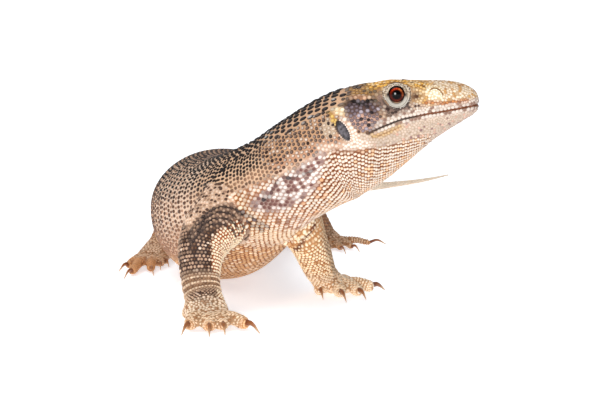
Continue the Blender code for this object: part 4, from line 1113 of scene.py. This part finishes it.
def scatter(mine, spacing, rounds=12):
    """Scale places in no order over some triangles, pushed apart until they lie evenly."""
    mine = np.flatnonzero(mine & clear_of_openings(triangle_middles))
    weights = areas[mine] / spacing(triangle_middles[mine]) ** 2
    count = int(weights.sum() / 0.88)
    places = drop_on(mine[draws.choice(len(mine), count, p=weights / weights.sum())])
    low, high = places.min(0) - 2, places.max(0) + 2
    fixed = np.array([s for s in laid if (low <= s[0:3]).all() and (s[0:3] <= high).all()]).reshape(-1, 13)
    for _ in range(rounds):
        room = spacing(places)
        sizes = np.concatenate((room / 2, fixed[:, 9:11].mean(1)))
        tree = tree_over(np.concatenate((places, fixed[:, 0:3])))
        moved = places.copy()
        for i, place in enumerate(places):
            for other, j, apart in tree.find_n(place, 8):
                wanted = sizes[i] + sizes[j]
                if 1e-6 < apart < wanted:
                    moved[i] += (place - other) / apart * (wanted - apart) * (0.35 if j < count else 0.8)
        places = np.array([hide_tree.find_nearest(p)[0] for p in moved])
    tree, found = tree_over(places), []
    for i, place in enumerate(places):
        apart = np.mean([near[2] for near in tree.find_n(place, 6)[1:]])
        size = min(apart, 1.15 * room[i]) / 2
        way = unit(np.array((1.0, 0.0, draws.uniform(-0.4, 0.4))))
        found.append((*place, *hide_tree.find_nearest(place)[1], *way, size, size * 0.92, 0.0, 0.0))
    found = np.array(found)
    if len(fixed):
        tree = tree_over(fixed)
        found = found[np.array([tree.find(p[0:3])[2] for p in found]) > 0.8]
    return found


def head_spacing(places):
    """Smallest on the snout and lips, largest over the temple."""
    big = ease(places[:, 0], 42.0, 34.0) * ease(places[:, 2], 86.0, 91.0)
    return 1.42 + 0.12 * ease(places[:, 0], 60, 45) + 0.5 * big


def head_height(places):
    """Nearly flat on the snout, flattest on the jaw, domed over the temple."""
    flat = ease(mouth_height(places[:, 0]) + 3.0 - places[:, 2], 0.0, 3.0)
    return (0.13 + 0.3 * (head_spacing(places) - 1.42)) * (1 - 0.55 * flat)


def foot_spacing(places):
    return np.full(len(places), 1.75)


# Head: flat many-sided plates that touch, in no strict order. Throat: long ovals in rows along the jaw.
on_throat = (np.abs(triangles_on_hide["turn"]) > 100) & (triangles_on_hide["along"] > 24)
on_throat &= (triangle_middles[:, 0] < 8) | (
    triangle_middles[:, 2] < np.interp(triangle_middles[:, 0], *zip(*THROAT_EDGE)) + 0.5)
on_face = (triangles_on_hide["path"] == 0) & (triangles_on_hide["along"] < 59) & ~on_throat
lay_scales("head_scales", scatter(on_face, head_spacing), "plain", 0.99, head_height)
NECK_END, THROAT_STOPS = 135.0, [0, 40, 90, 140]
lay_rings("throat_scales", "body", (22.0, NECK_END), (98, 180), (THROAT_STOPS, [1.4, 1.5, 2.1, 2.7]),
          wide_by(THROAT_STOPS, [1.6, 1.7, 2.2, 2.6]), 0.1, "oblong", (1.1, 0.78), 0.42, scatter=0.12)
# Nape: large ovals that stand apart, then ringed scales down the side of the neck.
lay_rings("nape_scales", "body", (57.0, 124.0), (0, 54), ([57, 124], [4.3, 3.9]), wide_by([0], [2.9]), 0.08,
          "oval", (0.88, 0.68), 0.85, scatter=0.12)
lay_rings("nape_scales", "body", (57.0, NECK_END), (50, 102), ([57, 100, 135], [2.3, 2.6, 3.4]),
          wide_by([0], [2.0]), 0.14, "oval", (0.92, 0.86), 0.5, scatter=0.14)
# Trunk: rings of ovals that stand apart over the back and flanks, oblong plates under the belly.
TRUNK_PITCH = ([120, 220, 300, 380], [3.8, 3.7, 3.3, 3.0])
for only, fate, cover in ((0, (0.0, 0.5), (0.94, 0.84)), (1, (0.4, 1.0), (0.74, 0.6))):
    lay_rings("trunk_scales", "body", (120.0, 372.0), (0, 126), TRUNK_PITCH, wide_by([0], [2.4]), 0.1,
              "oval", cover, 0.55, only, scatter=0.12, fate=fate)
lay_rings("belly_scales", "body", (130.0, 372.0), (122, 180), ([0], [2.9]), wide_by([0], [2.3]), 0.12,
          "oblong", (0.84, 0.84), 0.36, scatter=0.12)
# Tail: oblong scales in close rings, down to a third of the size at the tip.
TAIL_STOPS = [369, 520, 640, 760]
lay_rings("tail_scales", "body", (369.0, paths["body"]["along"][-1] - 1.0), (0, 180),
          (TAIL_STOPS, [2.9, 2.5, 1.8, 1.2]), wide_by(TAIL_STOPS, [2.3, 1.9, 1.3, 0.7]), 0.03,
          "oblong", (0.88, 0.84), 0.36)
# Legs: ovals in rings down to the foot, then small plates over the foot and close rings round the toes.
for number, name in enumerate(path_names):
    if name not in LEGS:
        continue
    group, leg_end = f"{name}_scales", paths[name]["along"][-1]
    stops = [0, leg_end * 0.6, leg_end]
    foot_from = paths[name]["along"][np.flatnonzero(paths[name]["middle"][:, 2] < 8.0)[0]]
    longs, wides = ([2.3, 1.9, 1.7], [2.1, 1.8, 1.5]) if "front" in name else ([2.7, 2.4, 1.9], [2.4, 2.1, 1.7])
    lay_rings(group, name, (4.0, foot_from), (0, 180), (stops, longs), wide_by(stops, wides), 0.14,
              "oval", (0.88, 0.88), 0.45, scatter=0.14)
    for toe_name in path_names[number + 1:number + 6]:
        lay_rings(group, toe_name, (3.0, paths[toe_name]["along"][-1]), (0, 180), ([0, 40], [1.6, 1.4]),
                  lambda s, turn: np.where(turn < 60, 2.3, 1.5), 0.04, "oval", (0.86, 0.9), 0.34)
    on_foot = (triangles_on_hide["path"] == number) & (triangles_on_hide["along"] > foot_from)
    lay_scales(group, scatter(on_foot, foot_spacing, 8), "plain", 0.9, 0.42)

# Where legs and body meet no row runs through: small scales, then granules, fill what is left of the
# hide, laid by chance, the largest first, and never on another scale.
chosen = draws.choice(len(triangles), int(areas.sum() * 1.7), p=areas / areas.sum())
tries, try_facing = drop_on(chosen), unit(cross[chosen])
free = clear_of_openings(tries)
tries, try_facing = tries[free], try_facing[free]
before, scales = tree_over(laid), np.array(laid)
scales[:, 9:11] *= 0.84
room = np.full(len(tries), 9.0)
for i, place in enumerate(tries):
    for _, j, apart in before.find_n(place, 3):
        long = (place - scales[j, 0:3]) @ scales[j, 6:9]
        wide = math.sqrt(max(apart * apart - long * long, 0.0))
        outside = math.hypot(long / scales[j, 9], wide / scales[j, 10]) - 1.0
        room[i] = min(room[i], outside * min(scales[j, 9], scales[j, 10]))
try_on_head = (tries[:, 0] > 8) & (tries[:, 2] > 60)
BOX = 2.2
boxes, kept = {}, []
for grain, fit, allowed in ((1.15, 0.8, ~try_on_head), (0.8, 0.8, ~try_on_head), (0.52, 0.62, ~try_on_head),
                            (0.42, 0.6, try_on_head)):
    for i in np.flatnonzero(allowed & (room > fit * grain)):
        place = tries[i]
        box = np.floor(place / BOX).astype(int)
        around = [other for step in np.ndindex(3, 3, 3) for other in boxes.get(tuple(box + step - 1), ())]
        if all(((place - other) ** 2).sum() >= (0.94 * (grain + size)) ** 2 for other, size in around):
            boxes.setdefault(tuple(box), []).append((place, grain))
            kept.append((*place, *try_facing[i], 0.3, 0.7, 0.4, grain, grain, 0.0, 0.0))
kept = np.array(kept)
head_part = (kept[:, 0] > 8) & (kept[:, 2] > 60)
front_part = ~head_part & (kept[:, 1] < -150)
small = kept[:, 9] < 0.6
lay_scales("head_granules", kept[head_part], "grain", 1.0, 0.24, False)
for group, part in (("front_granules", front_part), ("back_granules", ~head_part & ~front_part)):
    lay_scales(group, kept[part & ~small], "plain", (0.98, 0.9), 0.42, False)
    lay_scales(group, kept[part & small], "grain", 1.0, 0.3, False)
for group in groups:
    make_scales(group)

# The eyes
# A wet ball with a round black pupil in a red-orange iris, darker at its rim, held by thick lids.
# The clear dome over the iris is part of the ball, and smooth as glass.
eye_shell, tree, shader = new_material("wet_eye_cornea_over_iris")
tint = add_node(tree, "ShaderNodeAttribute", attribute_name="tint")
set_inputs(shader, {"Base Color": tint.outputs["Color"], "Roughness": 0.04, "IOR": 1.376,
                    "Specular IOR Level": 0.2})
IRIS_RADIUS, PUPIL_RADIUS, CORNEA_RADIUS = 3.4, 1.9, 8.0
CORNEA_BASE = math.sqrt(EYE_RADIUS**2 - IRIS_RADIUS**2) - math.sqrt(CORNEA_RADIUS**2 - IRIS_RADIUS**2)
EYE_RINGS, EYE_AROUND = 60, 72
BOTH_SIDES = (("right", -1), ("left", 1))


def turned(faces, flip):
    """The same faces, seen from the other side where that is asked."""
    return [face[::-1] for face in faces] if flip else faces


def eye_middle(side):
    return np.array((EYE_X, HEAD_Y + side * EYE_OUT, EYE_Z))


for side_name, side in BOTH_SIDES:
    middle, places = eye_middle(side), []
    for lean in math.radians(100.0) * np.arange(EYE_RINGS + 1) / EYE_RINGS:
        reach, bulge = EYE_RADIUS * math.sin(lean), EYE_RADIUS * math.cos(lean)
        if reach < IRIS_RADIUS and lean < 1.0:
            bulge = CORNEA_BASE + math.sqrt(CORNEA_RADIUS**2 - reach**2)
        places += [middle + (reach * math.cos(turn), side * bulge, reach * math.sin(turn))
                   for turn in 2 * math.pi * np.arange(EYE_AROUND) / EYE_AROUND]
    eye = mesh_object(f"{side_name}_eyeball", places, turned(ring_faces(EYE_RINGS + 1, EYE_AROUND), side > 0))
    rework(eye, lambda mesh: bmesh.ops.remove_doubles(mesh, verts=mesh.verts, dist=1e-5))
    apart = corners(eye) - middle
    out, angle = np.hypot(apart[:, 0], apart[:, 2]), np.arctan2(apart[:, 2], apart[:, 0])
    rays = 0.5 + 0.3 * np.sin(angle * 31 + 2 * np.sin(angle * 5)) + 0.2 * np.sin(angle * 57)
    iris = span(out, PUPIL_RADIUS, PUPIL_RADIUS + 0.2, IRIS_RADIUS - 0.35, IRIS_RADIUS - 0.1)
    colour = mix(linear("#020101"), linear("#3A0B03"), iris[:, None])
    ring = np.exp(-((out - 2.7) / 0.32) ** 2) * (0.1 + 1.1 * rays)
    for at, reach, shade in ((104.0, 42.0, "#DC3A0A"), (55.0, 22.0, "#D87A40"), (0.0, 20.0, "#9E5226"),
                             (-85.0, 32.0, "#702C14"), (-150.0, 26.0, "#4E180A")):
        off = (np.degrees(angle) - at + 180.0) % 360.0 - 180.0
        colour = mix(colour, linear(shade), np.clip(ring * np.exp(-(off / reach) ** 2), 0, 1)[:, None])
    paint(eye.data, colour)
    hand_over(eye, eye_shell, [f"{side_name}_eye"])

# The lids
# Thick folds of skin that meet the eyeball in a rounded edge and run out into the cheek and brow.
# They are pale grey, broadest below, and set with rings of the smallest granules.
LID_REACH, LID_FOLDS = 7.5, 2 * math.pi * 3.2
LID_ROWS, LID_AROUND = 34, 84


def lid_ray(side, lean, turn):
    """The way from the middle of the eye, by degrees off its look and round, and how far the hide is."""
    lean = math.radians(lean)
    way = np.array((math.sin(lean) * math.cos(turn), side * math.cos(lean), math.sin(lean) * math.sin(turn)))
    return way, 40 - plain_tree.ray_cast(Vector(eye_middle(side) + way * 40), Vector(-way))[3]


def lid_place(side, share, turn):
    """A place on the lids: 0 is the edge on the eyeball and 1 the end in the cheek or brow."""
    start = 40.0
    end = max(lean for lean in range(46, 76)
              if lid_ray(side, lean, turn)[1] * math.sin(math.radians(lean)) < LID_REACH)
    way, base = lid_ray(side, start + (end - start) * share, turn)
    swell = (0.85 + 0.3 * max(0.0, -math.sin(turn))) * math.exp(-((share - 0.45) / 0.33) ** 2)
    folds = 0.16 * math.cos(share * LID_FOLDS) * float(span(share, 0.15, 0.3, 0.8, 0.95))
    level = base + 0.1 + swell + folds - 0.9 * float(ease(share, 0.82, 1.0))
    return eye_middle(side) + way * mix(level, EYE_RADIUS - 0.25, float(1 - ease(share, 0.0, 0.24)))


for side_name, side in BOTH_SIDES:
    outs = np.concatenate((np.linspace(0, 0.24, 7), np.linspace(0.28, 1, LID_ROWS - 7)))
    turns = np.linspace(0, 2 * math.pi, LID_AROUND, endpoint=False)
    grid = np.array([[lid_place(side, out, turn) for turn in turns] for out in outs])
    faces = turned(ring_faces(LID_ROWS, LID_AROUND), side < 0)
    lid = mesh_object(f"{side_name}_lids", grid.reshape(-1, 3), faces)
    low = ease(-np.sin(turns), -0.1, 0.5)[None, :, None]
    # Painted shade: dark lines in the valleys of the lid's folds, and near black where the lid meets the
    # eyeball and at the eye's two corners.
    lines = ease(np.cos(outs * LID_FOLDS + math.pi), 0.55, 0.95)[:, None, None]
    corner = np.exp(-(np.sin(turns) / 0.28) ** 2)[None, :, None] * (1 - ease(outs, 0.25, 0.45))[:, None, None]
    shade = mix(linear("#C2AA8E"), linear("#B8B1A5"), low)
    shade = mix(shade, linear("#5A4638"), 0.75 * lines)
    shade = mix(shade, linear("#4E3E38"), ease(outs, 0.6, 0.7)[:, None, None] * low)
    shade = np.where(outs[:, None, None] > 0.12, shade, linear("#1C1412"))
    paint(lid.data, mix(shade, linear("#1C1412"), corner).reshape(-1, 3))
    hand_over(lid, skin)
    beads, dark_share = [], []
    for row, out in enumerate((0.3, 0.42, 0.54, 0.66, 0.78, 0.92)):
        size = 0.25 + 0.02 * row
        count = int(2 * math.pi * (4.0 + 0.6 * row) / (size * 2.05))
        for turn in 2 * math.pi * (np.arange(count) + 0.5 * (row % 2)) / count:
            if math.sin(turn) < 0.1 and out < 0.7:
                continue
            place = lid_place(side, out, turn)
            ahead = lid_place(side, out, turn + 0.02) - place
            facing = np.cross(ahead, lid_place(side, out + 0.02, turn) - place)
            facing *= np.sign(facing[1] * side)
            beads.append((*place, *facing, *unit(ahead), size, size, 0.0, 0.0))
            below_eye = float(ease(-math.sin(turn), -0.2, 0.3))
            dark_share.append(0.42 - 0.14 * below_eye if row != 4 else 0.42 + 0.4 * below_eye)
    dark = (draws.uniform(0, 1, len(beads)) < dark_share)[:, None]
    middle = np.where(dark, linear("#40302A"), linear("#D4CDC2"))
    lay_scales(f"{side_name}_lid_granules", beads, "grain", 0.95, 0.16, False, tints=(middle, middle * 0.7))

# The eardrums
# A thin dark membrane, stretched a millimetre below the skin in an oval opening behind the jaw.
# It shines a little, with faint veins.
drum_skin, tree, shader = new_material("stretched_eardrum_membrane")
where = add_node(tree, "ShaderNodeTexCoord")
veins = add_node(tree, "ShaderNodeTexNoise", {"Vector": where.outputs["Object"], "Scale": 700.0, "Detail": 4.0})
shade = add_node(tree, "ShaderNodeValToRGB", {"Fac": veins.outputs["Fac"]})
for stop, tone, at in zip(shade.color_ramp.elements, ("#1E181B", "#6E666C"), (0.36, 0.66)):
    stop.color, stop.position = (*linear(tone), 1.0), at
bump = add_node(tree, "ShaderNodeBump", {"Height": veins.outputs["Fac"], "Strength": 0.4, "Distance": 0.0003})
set_inputs(shader, {"Base Color": shade.outputs["Color"], "Roughness": 0.5, "Normal": bump.outputs["Normal"]})
DRUM_LONG, DRUM_WIDE, DRUM_RINGS, DRUM_AROUND = 5.3, 2.2, 8, 36
for side_name, side in BOTH_SIDES:
    place, facing = skin_at(EAR_X, EAR_Z, side)
    places = [place - facing * 1.6]
    for share in np.arange(1, DRUM_RINGS + 1) / DRUM_RINGS:
        for turn in 2 * math.pi * np.arange(DRUM_AROUND) / DRUM_AROUND:
            rim = ear_place(-DRUM_WIDE * share * math.sin(turn), DRUM_LONG * share * math.cos(turn))
            places.append(skin_at(*rim, side)[0] - facing * (0.9 + 0.7 * (1 - share ** 2)))
    faces = [(0, 1 + (k + 1) % DRUM_AROUND, 1 + k) for k in range(DRUM_AROUND)]
    faces += ring_faces(DRUM_RINGS, DRUM_AROUND, 1)
    drum = mesh_object(f"{side_name}_eardrum", places, turned(faces, side > 0))
    hand_over(drum, drum_skin, [f"{side_name}_ear"])

# The claws
# Curved horn sheaths, amber at the root and nearly black at the tip, with fine lines along them.
# Worn smooth by walking, they shine like polished horn.
claw_horn, tree, shader = new_material("polished_claw_horn")
tint = add_node(tree, "ShaderNodeAttribute", attribute_name="tint")
where = add_node(tree, "ShaderNodeTexCoord")
lines = add_node(tree, "ShaderNodeTexNoise",
                 {"Vector": where.outputs["Object"], "Scale": 1800.0, "Detail": 2.0})
bump = add_node(tree, "ShaderNodeBump", {"Height": lines.outputs["Fac"], "Strength": 0.2, "Distance": 0.0002})
set_inputs(shader, {"Base Color": tint.outputs["Color"], "Roughness": 0.32, "IOR": 1.54,
                    "Normal": bump.outputs["Normal"]})
CLAW_AROUND = 16
for name, (chain, toes, (_, size)) in LEGS.items():
    for number, toe in enumerate(toes, 1):
        root, end, tip = np.array((*toe[0], size)), np.array((*toe[1], size)), np.array((*toe[2], 0.55))
        start = end - unit(end - root) * 0.6 + (0, 0, size * 0.2)
        crown = end + (tip - end) * 0.45 + (0, 0, 2.0)
        wide, high = size * 0.28, size * 0.46
        swept = sweep([(*start, wide, high, high), (*crown, wide * 0.78, high * 0.7, high * 0.7),
                       (*tip, 0.16, 0.2, 0.2)], 0.7, CLAW_AROUND, 1.9)["grid"]
        claw = loft(f"{name}_claw_{number}_horn", swept)
        at = np.repeat(np.linspace(0, 1, len(swept)), CLAW_AROUND)[:, None]
        shade = mix(linear("#6E3418"), linear("#955A30"), ease(at, 0.1, 0.5))
        paint(claw.data, mix(shade, linear("#C8A078"), ease(at, 0.5, 0.9)))
        hand_over(claw, claw_horn, [f"{name}_claw_{number}"])

for group in list(groups):
    if "lid" in group:
        make_scales(group)
